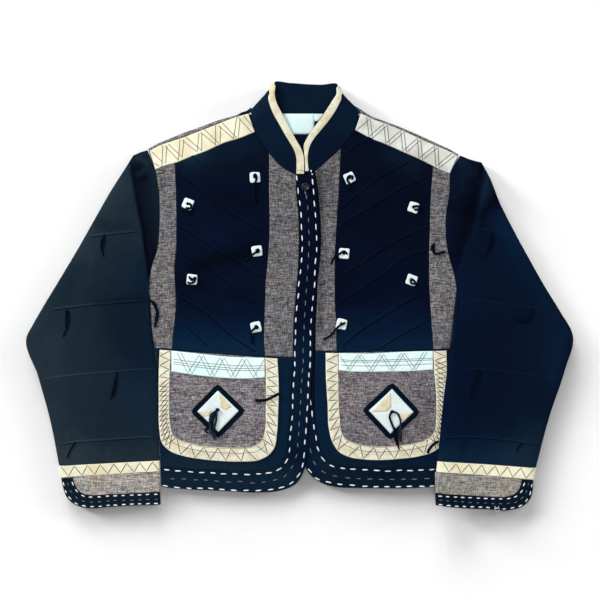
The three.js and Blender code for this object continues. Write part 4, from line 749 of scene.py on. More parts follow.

# how light and how blue each piece is: tone, hue, then strokes of amount, width and path; the strokes along folds,
# tucks and edges are painted shade and highlight
ROW = lambda y, a=170, b=262: [[-465 + 1.55 * a, y], [-465 + 1.55 * b, y]]
TONES_AND_PAINTED_SHADE.update({
    # left sleeve: its high base tone is painted light, the sleeve lit from the left; the one-sided stroke beside the
    # head fold is painted shade, and the narrow strokes on the head's small folds, along a trough and under a tuck are
    # painted highlight and shade
    "sleeve_left": (0.68, 0.0, (
        (0.16, 50, [[-406.1, -52.3], [-387.5, -160.8], [-372, -246.1]]), (-0.20, 46, [[-232.5, 25.2], [-238.7, -52.3], [-244.9, -83.3]]), (0.14, 30, [[-372, -256.9], [-224.8, -253.8]]),
        (-0.12, 30, [[-294.5, -5.8], [-279, -60.1]]), (-0.46, 34, [[-261.9, 192.6], [-254.2, 149.2], [-244.9, 102.7], [-236.2, 34.5]], 1), (0.24, 9, [[-252.7, 214.3], [-238.7, 205]]), (0.2, 4, [[-249.6, 189.5], [-237.2, 198.8]]), (-0.16, 4, [[-252.7, 178.6], [-237.2, 184.8]]), (0.2, 3, [[-248, 212.7], [-237.2, 206.5]]),
        (-0.14, 7, [[-254.2, 198.8], [-238.7, 201.9]]), (0.16, 26, [[-282.1, 170.9], [-310, 121.3], [-334.8, 71.7]]), (-0.10, 9, [[-316.2, 116.6], [-291.4, 105.8], [-266.6, 108.9]]), (-0.12, 6, [[-313.1, -10.5], [-291.4, -8.9], [-235.6, -4.3]])),
        ((0.45, 44, [[-232.5, 25.2], [-232.5, -160.8]]), (-0.1, 30, [[-294.5, 149.2], [-325.5, 87.2]]))),
    # right sleeve: its low base tone is painted light, the sleeve in shade; by the head fold there is painted shade on
    # its left, in tone and hue, and a painted highlight on its right, and the stroke along the trough below is painted
    # shade
    "sleeve_right": (0.34, 0.75, (
        (0.20, 10, [[246.5, 214.3], [263.5, 192.6]]), (-0.26, 22, [[283.7, 195.7], [274.4, 149.2], [265.1, 115.1], [249.6, 59.3]], -1), (-0.1, 14, [[232.5, 139.9], [269.7, 136.8]]), (0.1, 4, [[251.1, 186.4], [252.7, 164.7]]), (0.12, 3, [[272.8, 195.7], [275.9, 174]]), (0.30, 13, [[288.3, 192.6], [279, 149.2], [266.6, 99.6]], 1), (0.20, 22, [[317.8, 115.1], [337.9, 77.9]]), (-0.24, 11, [[310, 155.4], [285.2, 127.5], [272.8, 99.6]]),
        (0.12, 26, [[359.6, 43.8], [406.1, -36.8], [390.6, -114.3]]), (0.32, 42, [[224.8, -263.1], [372, -263.1]]), (0.14, 24, [[328.6, -241.4], [365.8, -207.3]]), (-0.04, 30, [[291.4, -52.3], [288.3, -160.8]])),
        ((0.5, 40, [[232.5, 9.7], [240.2, -160.8]]), (-0.35, 30, [[263.5, 211.2], [263.5, 149.2]]), (0.3, 30, [[310, 102.7], [341, 25.2]]), (-0.3, 36, [[341, -256.9], [372, -222.8]]))),
    # the strokes along the left panel's lower fold, in tone and hue, are painted shade in its trough
    "chest_panel_left": (0.26, 0.8, (
        (0.40, 17, [[-186, 223.6], [-161.2, 223.6]]), (0.14, 24, [[-173.6, 211.2], [-77.5, 239.1]]), (0.36, 40, ROW(-86.4, 176, 262)), (0.06, 30, [[-189.1, -52.3], [-77.5, -52.3]]), (-0.20, 11, [[-164.3, 43.8], [-131.8, 54.6], [-93, 63.9], [-74.4, 77.9]]),
        (-0.10, 12, [[-186, 19], [-155, 19]]), (-0.07, 16, [[-120.9, 155.4], [-69.8, 143]]), (-0.08, 8, [[-105.4, 0.4], [-83.7, 3.5]])),
        ((0.55, 46, ROW(-80.2, 176, 262)), (-0.35, 34, [[-186, 211.2], [-77.5, 211.2]]), (0.25, 24, [[-155, 110.4], [-85.2, 94.9]]), (-0.4, 12, [[-161.2, 43.8], [-93, 62.4]]))),
    "chest_panel_right": (0.22, 0.8, (
        (0.18, 20, [[148.8, 226.7], [173.6, 208.1]]), (0.34, 38, ROW(-83.3, 340, 436)), (0.08, 22, ROW(-36.8, 340, 436)), (-0.07, 12, [[77.5, 108.9], [130.2, 136.8], [192.2, 155.4]]), (0.05, 10, [[96.1, 155.4], [117.8, 167.8]]),
        (-0.05, 12, [[130.2, 183.3], [170.5, 164.7]])),
        ((0.55, 46, ROW(-67.8, 340, 436)), (-0.35, 30, [[77.5, 226.7], [170.5, 195.7]]), (-0.25, 16, [[124, 130.6], [192.2, 149.2]]), (0.2, 20, [[108.5, 15.9], [170.5, 25.2]]))),
    "lower_front_left": (0.58, 0.85, ((0.10, 26, [[-186, -263.1], [-93, -266.2]]),), ((-0.45, 30, [[-201.5, -269.3], [-77.5, -269.3]]),)),
    "lower_front_right": (0.55, 0.9, ((-0.06, 30, [[155, -263.1], [201.5, -253.8]]),), ((-0.4, 26, [[62, -266.2], [155, -269.3]]),)),
    "edge_band_left": (0.22, 0.8, ((0.26, 40, [[3.1, -98.8], [-1.6, -160.8], [-4.7, -207.3]]), (0.40, 34, [[-23.2, -284.8], [-93, -287.9], [-201.5, -284.8]])), ((-0.45, 30, [[-23.2, -284.8], [-201.5, -284.8]]),)),
    "edge_band_right": (0.26, 0.8, ((0.20, 30, [[18.6, -207.3], [24.8, -246.1]]), (0.22, 34, [[46.5, -278.6], [124, -287.9], [201.5, -281.7]]), (-0.08, 14, [[124, -275.5], [142.6, -275.5]])), ((-0.45, 30, [[46.5, -284.8], [201.5, -284.8]]),)),
    "collar": (0.46, 0.6, ((0.16, 14, [[-74.4, 285.6], [-58.9, 304.2]]), (-0.08, 14, [[-24.8, 217.4], [-6.2, 198.8]]), (-0.10, 26, [[46.5, 232.9], [18.6, 205]]), (-0.10, 12, [[-34.1, 319.7], [-31, 291.8]])), ((0.2, 24, [[-15.5, 205], [31, 211.2]]),)),
    "back_body": (0.34, 0.3, ((0.15, 40, [[20.2, -129.8], [20.2, -207.3]]), (-0.06, 14, [[-6.2, 239.1], [12.4, 232.9]])), ()),
    "back_hem_band": (0.40, 0.3, (), ()),
    "cuff_edge_left": (0.54, 0.0, (), ()), "cuff_edge_right": (0.42, 0.2, (), ()),
    "chest_strip_inner_left": (0.5, 0, ((-0.05, 24, [[-23.2, 180.2], [-23.2, 87.2]]), (0.05, 24, [[-31, -5.8], [-31, -75.6]])), ()),
    # the dark strokes along this strip's edge by the band are painted shadow from the band
    "chest_strip_inner_right": (0.46, 0, ((-0.34, 6, [[29.4, 192.6], [32.6, 102.7], [31, -52.3]]), (-0.16, 22, [[37.2, 186.4], [40.3, 141.4]]), (0.06, 20, [[40.3, -5.8], [40.3, -75.6]])), ()),
    "chest_strip_outer_left": (0.54, 0, ((-0.08, 10, [[-217, 40.7], [-198.4, 37.6]]), (-0.06, 14, [[-207.7, 186.4], [-207.7, 170.9]])), ()),
    "chest_strip_outer_right": (0.58, 0, ((-0.10, 14, [[217, 195.7], [220.1, 164.7]]), (-0.05, 10, [[210.8, 93.4], [229.4, 87.2]])), ()),
    # the back shoulder strips' high tones are painted light, lifting them against the shade they lie in
    "back_shoulder_strip_left": (0.8, 0, (), ()), "back_shoulder_strip_right": (0.7, 0, (), ()), "cuff_tweed_left": (0.62, 0, ((-0.12, 14, [[-362.7, -291], [-356.5, -309.6]]),), ()),
    "pocket_body_left": (0.58, 0, ((-0.12, 12, [[-198.4, -136], [-192.2, -207.3]]), (0.06, 30, [[-93, -145.3], [-77.5, -222.8]])), ()), "pocket_body_right": (0.5, 0, ((0.06, 20, [[80.6, -136], [108.5, -136]]), (-0.14, 26, [[186, -207.3], [201.5, -160.8]])), ()),
    "shoulder_band_left": (0.5, 0, ((-0.13, 7, [[-86.8, 273.2], [-80.6, 260.8]]), (0.05, 8, [[-198.4, 222], [-170.5, 232.9]])), ()),
    "shoulder_band_right": (0.5, 0, ((-0.10, 9, [[96.1, 271.6], [136.4, 251.5]]), (0.05, 8, [[186, 228.2], [204.6, 222]])), ()),
    "pocket_top_left": (0.74, 0, (), ()), "pocket_top_right": (0.75, 0, (), ()),
    "cuff_cream_right": (0.66, 0, ((0.14, 9, [[244.9, -264.7], [282.1, -266.2]]),), ()),
    # the pocket borders' narrow strokes are painted shade and highlight along their puckers and edges
    "pocket_border_left": (0.54, 0, ((-0.06, 7, [[-209.2, -101.9], [-212.3, -191.8], [-201.5, -225.9]]), (-0.08, 3.2, [[-176.7, -239.9], [-124, -246.1], [-77.5, -246.1], [-49.6, -235.2]]), (0.08, 2.6, [[-170.5, -233.7], [-124, -238.9], [-77.5, -238.3]])), ()),
    "pocket_border_right": (0.52, 0, ((-0.05, 6, [[48.1, -98.8], [51.1, -191.8]]), (-0.10, 5, [[215.5, -129.8], [210.8, -207.3]]), (-0.08, 3.2, [[77.5, -241.4], [133.3, -244.5], [186, -238.3]])), ()),
})

# ------------------------------------------------------------------ folds
# depth, width, path; a minus is a trough. Paths are in the garment's plan.
FRONT_FOLDS = [
    (-1.3, 9, [-176.7, 43.8, -147.2, 56.2, -105.4, 63.9, -68.2, 76.3]), (0.9, 10, [-173.6, 77.9, -136.4, 87.2, -93, 82.5]),
    (-0.9, 7, [-145.7, 161.6, -114.7, 136.8, -96.1, 127.5]), (0.7, 9, [-161.2, 115.1, -120.9, 102.7, -80.6, 105.8]),
    (-0.8, 8, [-182.9, -5.8, -139.5, -33.7, -99.2, -67.8, -68.2, -86.4]), (0.8, 9, [-173.6, 6.6, -130.2, -13.6, -86.8, -39.9]),
    (-0.7, 6, [-93, -5.8, -74.4, -21.3, -62, -52.3]), (0.6, 8, [-155, -60.1, -130.2, -75.6]),
    (-0.7, 7, [-173.6, 226.7, -124, 201.9, -93, 186.4]), (0.6, 7, [-108.5, 226.7, -80.6, 211.2, -58.9, 198.8]),
    (-1.2, 9, [74.4, 43.8, 114.7, 60.8, 151.9, 82.5, 193.8, 99.6]), (0.9, 9, [69.8, 90.3, 111.6, 108.9, 162.8, 130.6]),
    (-0.9, 8, [66.7, 146.1, 102.3, 170.9, 145.7, 195.7]), (0.7, 8, [80.6, 164.7, 124, 195.7, 155, 211.2]),
    (-0.9, 8, [65.1, -33.7, 111.6, -5.8, 161.2, 22.1, 195.3, 37.6]), (0.8, 8, [69.8, -2.7, 111.6, 22.1, 155, 50]),
    (-0.7, 7, [77.5, -74, 131.8, -55.4, 193.8, -29.1]), (0.7, 8, [93, -49.2, 142.6, -30.6, 186, -5.8]),
    (-0.8, 6, [-29.4, -117.4, -26.4, -176.3, -29.4, -222.8]), (0.6, 5, [-20.2, -123.6, -21.7, -184.1, -26.4, -235.2]),
    (-0.6, 6, [-201.5, -256.9, -131.8, -263.1, -58.9, -264.7]), (-0.8, 6, [32.6, -117.4, 31, -168.6, 37.2, -219.7]),
    (-0.6, 6, [69.8, -256.9, 131.8, -260, 201.5, -256.9]),
]
POCKET_FOLDS = [(-0.6, 7, [-186, -148.4, -176.7, -184.1, -179.8, -216.6]), (0.6, 8, [-77.5, -136, -71.3, -176.3, -80.6, -219.7]), (-0.5, 8, [-155, -225.9, -116.2, -222.8, -83.7, -227.5]),
    (-0.6, 7, [77.5, -129.8, 72.9, -173.2, 80.6, -216.6]), (0.6, 8, [193.8, -129.8, 198.4, -168.6, 189.1, -210.4]), (-0.5, 8, [105.4, -225.9, 142.6, -224.4, 178.2, -219.7])]
SLEEVE_FOLDS = {
    "left": [
        (4.0, 17, [-261, 211.2, -258.9, 187.9, -252.7, 149.2, -243.3, 102.7, -237.2, 53.1, -235, 31.4], -1), (1.2, 4, [-254.2, 211.2, -238.7, 215.8]), (-1.2, 4, [-252.7, 198.8, -237.2, 201.9]), (1.1, 4, [-251.1, 187.9, -235.6, 189.5]),
        (-1.1, 8, [-297.6, -15.1, -282.1, -46.1, -263.5, -86.4]), (0.9, 9, [-316.2, -24.4, -300.7, -61.6, -282.1, -98.8]),
        (-0.9, 9, [-368.9, -5.8, -347.2, -36.8, -334.8, -77.1]), (0.8, 8, [-387.5, -33.7, -368.9, -67.8, -359.6, -101.9]),
        (-0.9, 8, [-266.6, 71.7, -279, 31.4, -282.1, -2.7]), (0.8, 9, [-310, 71.7, -322.4, 31.4, -334.8, -5.8]),
        (-0.8, 7, [-248, -117.4, -260.4, -157.7, -257.3, -204.2]), (0.7, 8, [-322.4, -136, -313.1, -179.4, -316.2, -222.8]),
        (-0.8, 7, [-359.6, -139.1, -347.2, -179.4, -344.1, -222.8]), (0.7, 7, [-238.7, -52.3, -248, -92.6, -244.9, -136]),
        (-0.7, 6, [-291.4, -222.8, -303.8, -241.4, -310, -260]), (0.6, 6, [-257.3, -216.6, -263.5, -238.3, -266.6, -256.9]),
        (-0.8, 8, [-316.2, 118.2, -297.6, 99.6, -269.7, 90.3]),
    ],
    "right": [
        (4.0, 16, [284.3, 205, 277.4, 164.7, 266.6, 130.6, 257.3, 94.9, 250.2, 50], 1), (-1.2, 5, [263.5, 208.1, 265.1, 189.5]), (1.0, 4, [254.2, 211.2, 255.8, 192.6]), (0.9, 4, [274.4, 205, 275.9, 183.3]), (-1.6, 8, [313.1, 158.5, 291.4, 136.8, 275.9, 105.8]),
        (-1.0, 6, [272.8, 113.5, 285.2, 124.4, 299.2, 138.3]), (-0.9, 5, [310, 101.1, 323.9, 94.9, 339.4, 87.2]), (0.8, 6, [310, 90.3, 325.5, 82.5, 341, 74.8]),
        (-0.9, 5, [249.6, 37.6, 257.3, 31.4, 269.7, 25.2]),
        (-1.3, 11, [275.9, -5.8, 280.6, -60.1, 277.4, -111.2, 271.2, -157.7]), (1.1, 12, [305.4, -15.1, 306.9, -67.8, 303.8, -123.6, 294.5, -176.3]),
        (-1.0, 9, [344.1, -39.9, 339.4, -77.1, 331.7, -126.7, 319.3, -176.3]), (0.9, 9, [373.6, -33.7, 368.9, -77.1, 356.5, -126.7]),
        (-0.8, 8, [396.8, -46.1, 390.6, -92.6, 379.8, -145.3]), (-1.0, 9, [275.9, -163.9, 274.4, -201.1, 275.9, -241.4]),
        (0.8, 8, [244.9, -83.3, 244.9, -139.1, 238.7, -198]), (-0.8, 7, [341, -167, 331.7, -207.3, 328.6, -247.6]), (0.7, 8, [310, -191.8, 306.9, -229, 310, -256.9]),
        (0.6, 7, [248, -222.8, 244.9, -241.4, 241.8, -256.9]),
    ],
}
COLLAR_FOLDS = [(-0.35, 5, [-58.9, 285.6, -43.4, 257.7, -24.8, 226.7]), (0.35, 6, [-65.1, 276.3, -49.6, 245.3, -31, 217.4]), (-0.35, 5, [69.8, 291.8, 55.8, 263.9, 34.1, 229.8]),
    (0.3, 6, [77.5, 279.4, 65.1, 251.5, 43.4, 223.6]), (-0.25, 4, [34.1, 325.9, 37.2, 307.3, 32.6, 288.7]), (0.25, 4, [9.3, 325.9, 6.2, 307.3, 12.4, 288.7]), (-0.2, 4, [-15.5, 322.8, -12.4, 307.3, -17.1, 288.7])]

STRIP_COLUMNS = [0, 0.5, 1]
PANEL_COLUMNS = {"left": [0, 0.16, 0.319, 0.532, 0.691, 0.851, 0.92, 1], "right": [0, 0.141, 0.304, 0.522, 0.685, 0.848, 0.924, 1]}
INNER_COLUMNS = {"left": [0, 0.426, 0.815, 1], "right": [0, 0.423, 0.788, 1]}

# ------------------------------------------------------------------ fronts
SEAM_ROWS = {}
for hand, dir in HANDS:
    F, seam, top = FRONT[hand], col(CHEST_SEAM[hand], "x", "y"), TOP_Y[hand]
    row = lambda i: {k: F[k][i] for k in F}
    mids = [row(i) for i in range(2, len(F["y"]) - 1)]
    levels = [None, "mid"] + [r["y"] for r in mids] + ["seam"]
    top_row, end_row = row(1), row(-1)

    def point_at(level, s1, s2, f):
        if level is None:
            x = lerp(top_row[s1], top_row[s2], f)
            return [x, float(top(x)) - 0.24]
        if level == "mid":
            x0, x1 = lerp(top_row[s1], top_row[s2], f), lerp(mids[0][s1], mids[0][s2], f)
            return [(x0 + x1) / 2, (float(top(x0)) + mids[0]["y"]) / 2]
        if level == "seam":
            x = lerp(end_row[s1], end_row[s2], f)
            return [x, float(seam(x)) + 0.2]
        r = next(q for q in mids if q["y"] == level)
        return [lerp(r[s1], r[s2], f), level]

    def chest(node, s1, s2, columns, material, breaks=()):
        grid = []
        for level in levels:
            line = []
            for i, f in enumerate(columns):
                x, y = point_at(level, s1, s2, f)
                shift = HALF * dir if i == 0 else -HALF * dir if i == len(columns) - 1 else 0
                line.append(front_mid(x + shift, y))
            grid.append(line)
        shell(node, dense(grid, col_breaks=breaks), CLOTH, material, folds=FRONT_FOLDS, floor=CLOTH + 0.05)

    chest(f"chest_strip_outer_{hand}", "side", "a", STRIP_COLUMNS, TWEED, (1,))
    chest(f"chest_panel_{hand}", "a", "b", PANEL_COLUMNS[hand], INDIGO, (5,))
    chest(f"chest_strip_inner_{hand}", "b", "c", INNER_COLUMNS[hand], TWEED)

    upper = [lerp(end_row["side"], end_row["a"], f) for f in STRIP_COLUMNS]
    upper += [lerp(end_row["a"], end_row["b"], f) for f in PANEL_COLUMNS[hand][1:]]
    upper += [lerp(end_row["b"], end_row["c"], f) for f in INNER_COLUMNS[hand][1:]]
    E, side, c = LOWER_EDGE[hand], SIDE[hand], col(LOWER[hand], "y", "c")
    n = len(E["x"])
    w0, w1 = upper[-1] - upper[0], E["x"][-1] - E["x"][0]
    y425 = -199.6
    low_grid = []
    for r, level in enumerate([None, -115.9, -160.8, y425, "mid", "edge"]):
        line = []
        for k in range(n):
            inset = HALF * dir if k == 0 else -HALF * dir if k == n - 1 else 0
            f = lerp((upper[k] - upper[0]) / w0, (E["x"][k] - E["x"][0]) / w1, r / 5)
            at = lambda y: float(lerp(side(y), c(y), f))
            if level is None:
                p = front_mid(upper[k] + inset, float(seam(upper[k])) - 0.2)
            elif level == "edge":
                p = front_mid(E["x"][k] + inset, E["y"][k] + (0.1 if k == n - 1 else 0.22))
            elif level == "mid":
                p = front_mid((at(y425) + E["x"][k]) / 2 + inset, (y425 + E["y"][k]) / 2)
            else:
                p = front_mid(at(level) + inset, level)
            line.append(p)
        low_grid.append(line)
    shell(f"lower_front_{hand}", dense(low_grid), CLOTH, NAVY_LOW, folds=FRONT_FOLDS, floor=CLOTH + 0.05)

    inner = [point_at(level, "b", "c", 1) for level in levels]
    inner += [[line[n - 1][0] + HALF * dir, line[n - 1][1]] for line in low_grid[1:5]]
    inner += [[E["x"][k], E["y"][k]] for k in range(n - 1, -1, -1)]
    inner[len(levels) - 1][1] -= 0.2
    extra = [0.0] * (len(inner) - n) + [v * 1.55 for v in reversed(CORNER_WIDTH[hand])]
    rows = []
    for i, (x, y) in enumerate(inner):
        a, b = inner[max(0, i - 1)], inner[min(len(inner) - 1, i + 1)]
        L = math.hypot(b[0] - a[0], b[1] - a[1]) or 1
        nx, ny = -(b[1] - a[1]) / L * dir, (b[0] - a[0]) / L * dir
        if i < len(levels) + 2:
            nx, ny = dir, 0
        w = float(lerp(HIDDEN_BAND, BAND_WIDTH, smooth((-117.4 - y) / 40))) if hand == "right" and y > -160.8 else BAND_WIDTH
        if i == len(inner) - 1:
            nx, ny = (float(SIDE[hand](y - BAND_WIDTH)) + dir * HALF - x) / BAND_WIDTH, -1
        rows.append((x, y, nx, ny, w + extra[i]))
    SEAM_ROWS[hand] = rows

free = sorted((y + ny * w, x + nx * w) for x, y, nx, ny, w in SEAM_ROWS["right"][:23])
free_edge = lambda y: float(np.interp(y, [p[0] for p in free], [p[1] for p in free]))


def lap_lift(x, y):
    ramp = float(lerp(max(6, free_edge(y) - float(EDGE["left"](y))), 18, smooth((-184.1 - y) / 40)))
    return LAP * float(clamp((x - free_edge(y) + ramp + 0.6) / ramp))


for hand, dir in HANDS:
    grid = []
    for i, (x0, y0, nx, ny, w) in enumerate(SEAM_ROWS[hand]):
        line = []
        for f in ([0, 0.34, 0.62, 1] if hand == "left" else [0, 0.5, 1]):
            d = HALF if f == 0 else w * f
            x, y = x0 + nx * d, y0 + ny * d - ((0.25 + (5.6 * f if hand == "right" else 0)) if i == 0 else 0)
            lift = 0.0
            if hand == "left":
                lift = min(lap_lift(x, y), 0.2) if f == 0 else lap_lift(x, y)
            line.append([x, y, FRONT_Z + CLOTH / 2 + (float(puff(x0, y0)) if f == 0 else 0) + lift])
        grid.append(line)
    shell(f"edge_band_{hand}", dense(grid, 2.8), CLOTH, BAND, ripple=0.12, rests=("cloth_back_body",) if hand == "right" else ("cloth_edge_band_right", "cloth_back_body"))

# ------------------------------------------------------------------ shoulders
for hand, dir in HANDS:
    S, Tp = SHOULDER[hand], TOP[hand]
    n = len(S["x"])
    grid = [[[lerp(S["x"][k], Tp["x"][k], f) + (dir * 0.3 if k == 0 else -dir * 0.4 if k == n - 1 else 0), lerp(S["y"][k] - 0.2, Tp["y"][k] + 0.3, f), FRONT_Z + CLOTH / 2] for k in range(n)] for f in (0, 0.5, 1)]
    shell(f"shoulder_band_{hand}", dense(grid, 2.6), CLOTH, CREAM if hand == "left" else CREAM_PALE, ripple=0.15)
    r, mid = 0.76, CLOTH / 2
    strip = []
    for k in range(n):
        last = k == n - 1
        fx, fy = S["foldX"][k] + (dir * 0.4 if k == 0 else 0), S["foldY"][k]
        low = (S["foldX"][k], 245.3) if last else (Tp["x"][k], Tp["y"][k])
        tp = (S["foldX"][k], fy - 2.2) if last else (S["x"][k], S["y"][k])
        d = r + mid
        line = [[low[0], low[1] + 0.25, mid], [lerp(low[0], fx, 0.6), lerp(low[1], fy, 0.6), mid]]
        line += [[fx, fy - d + r * math.cos(math.radians(a)), mid + r + r * math.sin(math.radians(a))] for a in (-90, -45, 0, 45, 90)]
        line.append([lerp(fx, tp[0], 0.9), min(tp[1] + 0.1, fy - d - 0.2), mid + 2 * r])
        strip.append([[x + (dir * 0.5 if k == 0 else 0), y, z] for x, y, z in line])
    shell(f"back_shoulder_strip_{hand}", dense(strip, 3.0, least=(1, 1)), CLOTH, TWEED, upright=False, ripple=0.0, roll=0.6, rests=())

# ------------------------------------------------------------------ the back, from the level of its sections
back_hem = lambda x: -263.1 - 31 * ((x - 9.3) / 224.8) ** 2
neck_pts = [(-91.8, 281.7), (-77.8, 283.4), (-31, 282.8), (46.5, 282.8), (92.4, 283.4), (107.6, 278.1)]


def back_top(x):
    """Upper edge of the back at x: the shoulder line each side and the neck between."""
    if x < -91.8:
        return float(TOP_Y["left"](x)) - 0.25
    if x > 107.6:
        return float(TOP_Y["right"](x)) - 0.25
    xs = [p[0] for p in neck_pts]
    return float(np.interp(x, xs, [p[1] for p in neck_pts]))


tops = [-224.1, -193.8, -147.2, -92.1, -91.5, -58.9, -15.5, 31, 74.4, 107.3, 107.9, 162.8, 206.2, 231.9]
lows = [-216.2, -186, -142.6, -96.1, -88.4, -55.8, -15.5, 31, 72.9, 102.3, 110, 158.1, 201.5, 230.5]
grid = []
for lv in (0, 0.015, 0.05, 0.12, 0.2, 0.3, 0.36, 0.42, 0.5, 0.58, 0.66, 0.75, 0.84, 0.92, 1):
    line = []
    for k in range(len(tops)):
        yt, yb = back_top(tops[k]), back_hem(lows[k]) + BAND_WIDTH + HALF
        y = lerp(yt, yb, lv)
        a, b = float(SIDE["left"](y)) + HALF, float(SIDE["right"](y)) - HALF
        f0 = (tops[k] - tops[0]) / (tops[-1] - tops[0])
        f1 = (lows[k] - lows[0]) / (lows[-1] - lows[0])
        f = lerp(f0, f1, smooth(lv / 0.3))
        x = lerp(a, b, f) if lv > 0.1 else lerp(tops[k], lerp(a, b, f), lv / 0.1)
        line.append([x, y, CLOTH / 2])
    grid.append(line)
shell("back_body", refine(refine(grid, 0, 5.0, breaks=range(1, 14)), 1, 5.0, breaks=range(1, 13)), CLOTH, NAVY_BACK, ripple=0.0, roll=0.8, rests=())
grid = [[[x, back_hem(x) + d, CLOTH / 2] for x in np.linspace(-215.6, 230.8, 24)] for d in (BAND_WIDTH - HALF, BAND_WIDTH / 2, 0)]
shell("back_hem_band", dense(grid, 4.0), CLOTH, BAND, ripple=0.0, roll=0.8, rests=())

# ------------------------------------------------------------------ sleeves and cuffs
lap_start = lambda y: np.interp(y, [-331.3, -160.8, -83.3], [266.6, 265.1, 263.5])
sleeve_lift = {"left": lambda x, y: 0.0, "right": lambda x, y: SLEEVE_LIFT * float(smooth((lap_start(y) - x) / 26.4)) * float(smooth((0.4 - y) / 74.4))}
ARMHOLE = {"left": [169.6, 190, 215, 232, 250, 265], "right": [173.6, 190, 215, 232, 250, 265]}
px_y = lambda v: (296.25 - v) * 1.55
for hand, dir in HANDS:
    S, lift, fold = SLEEVE[hand], sleeve_lift[hand], HEAD_FOLD[hand]
    fold_x = col(fold, "y", "x")
    O = {k: S[k][0] for k in S}
    dx, dy = O["ix"] - O["ox"], O["iy"] - O["oy"]
    L = math.hypot(dx, dy)
    stations = []
    for v in ARMHOLE[hand]:
        y = px_y(v)
        x = float(SIDE[hand](y)) - dir * HALF * 1.6
        f = ((x - O["ox"]) * dx + (y - O["oy"]) * dy) / (L * L)
        stations.append((f, x - O["ox"] - dx * f, y - O["oy"] - dy * f))
    all_st = [(0, 0, 0)] + stations + [(1, 0, 0)]
    bow = lambda f: (float(np.interp(f, [a[0] for a in all_st], [a[1] for a in all_st])), float(np.interp(f, [a[0] for a in all_st], [a[2] for a in all_st])))
    crest = lambda x, y: 0.9 * math.exp(-(((x - float(fold_x(y))) / 14) ** 2)) * float(smooth((y - fold["y"][-1] + 20) / 40))

    def ring(s, inset):
        W, r = math.hypot(s["ix"] - s["ox"], s["iy"] - s["oy"]), s["r"]
        q, pts = r - inset, []

        def xy(d):
            f = d / W
            bx, by = bow(min(1, max(0, f)))
            return lerp(s["ox"], s["ix"], f) + bx * s["curve"], lerp(s["oy"], s["iy"], f) + by * s["curve"]

        def put(d, z):
            x, y = xy(d)
            pts.append([x, y, z + lift(x, y)])

        def top(d):
            x, y = xy(d)
            f = min(1, max(0, d / W))
            return 2 * r + s["full"] * math.sin(math.pi * f) ** 0.7 + crest(x, y) * (1 - s["curve"]) * min(1, max(0, 2 * min(f, 1 - f) * 4))

        put(inset, r)
        put(r - q * 0.707, r + q * 0.707)
        put(r, 2 * r - inset)
        for st in stations:
            put(st[0] * W, top(st[0] * W) - inset)
        put(W - r, 2 * r - inset)
        put(W - r + q * 0.707, r + q * 0.707)
        put(W - inset, r)
        put(W - r + q * 0.707, r - q * 0.707)
        put(W - r, inset)
        for i in (5, 4, 2, 1, 0):
            put(stations[i][0] * W, inset)
        put(r, inset)
        put(r - q * 0.707, r - q * 0.707)
        return pts

    sections = [ring({k: S[k][j] for k in S}, CLOTH / 2) for j in range(len(S["ox"]))]
    g = dense(sections, 3.0, row_breaks=(2,), least=(1, 1), wrap=True)
    shell(f"sleeve_{hand}", g, CLOTH, NAVY_LEFT if hand == "left" else NAVY_RIGHT, upright=False, wrap=True, roll=0.9, folds=SLEEVE_FOLDS[hand], ripple=0.42, top_only=True, rests=() if hand == "left" else ("cloth_pocket_border_right", "cloth_lower_front_right"))

    def flat_ring(o, r, inset):
        W, q = math.hypot(o[2] - o[0], o[3] - o[1]), r - inset
        pts = [(inset, r), (r - q * 0.707, r + q * 0.707), (r, 2 * r - inset)] + [(W * f, 2 * r - inset) for f in (0.25, 0.5, 0.75)] + [(W - r, 2 * r - inset), (W - r + q * 0.707, r + q * 0.707),
            (W - inset, r), (W - r + q * 0.707, r - q * 0.707), (W - r, inset)] + [(W * f, inset) for f in (0.75, 0.5, 0.25)] + [(r, inset), (r - q * 0.707, r - q * 0.707)]
        out = []
        for d, z in pts:
            x, y = lerp(o[0], o[2], d / W), lerp(o[1], o[3], d / W)
            out.append([x, y, z + lift(x, y)])
        return out

    C = CUFF[hand]["cream"]
    ends = [[C[k][j] for k in ("ox", "oy", "ix", "iy")] for j in (0, 1)]
    rows3 = [ends[0], [(a + b) / 2 for a, b in zip(*ends)], ends[1]]
    shell(f"cuff_cream_{hand}", dense([flat_ring(o, 1.8, CLOTH / 2) for o in rows3], 2.4, wrap=True), CLOTH, CREAM, upright=False, wrap=True, roll=0.9, ripple=0.1, top_only=True, rests=())

    r = 1.2
    low, high = CLOTH / 2, CLOTH / 2 + 2 * r
    cream_low = lambda x: float(lerp(C["oy"][1], C["iy"][1], clamp((x - C["ox"][1]) / (C["ix"][1] - C["ox"][1])))) - 0.35
    E, end = CUFF[hand]["edge"], CUFF[hand]["end"]
    m = len(E["ix"])

    def folded(rws, end_row):
        out = [[[x, y, high] for x, y in rw] for rw in rws]
        for a in (90, 45, 0, -45, -90):
            out.append([[x - dir * (r + low) + dir * r * math.cos(math.radians(a)), y, low + r + r * math.sin(math.radians(a))] for x, y in end_row])
        out += [[[x, y, low] for x, y in rw] for rw in reversed(rws)]
        return [[[x, y, z + lift(x, y)] for x, y, z in rw] for rw in out]

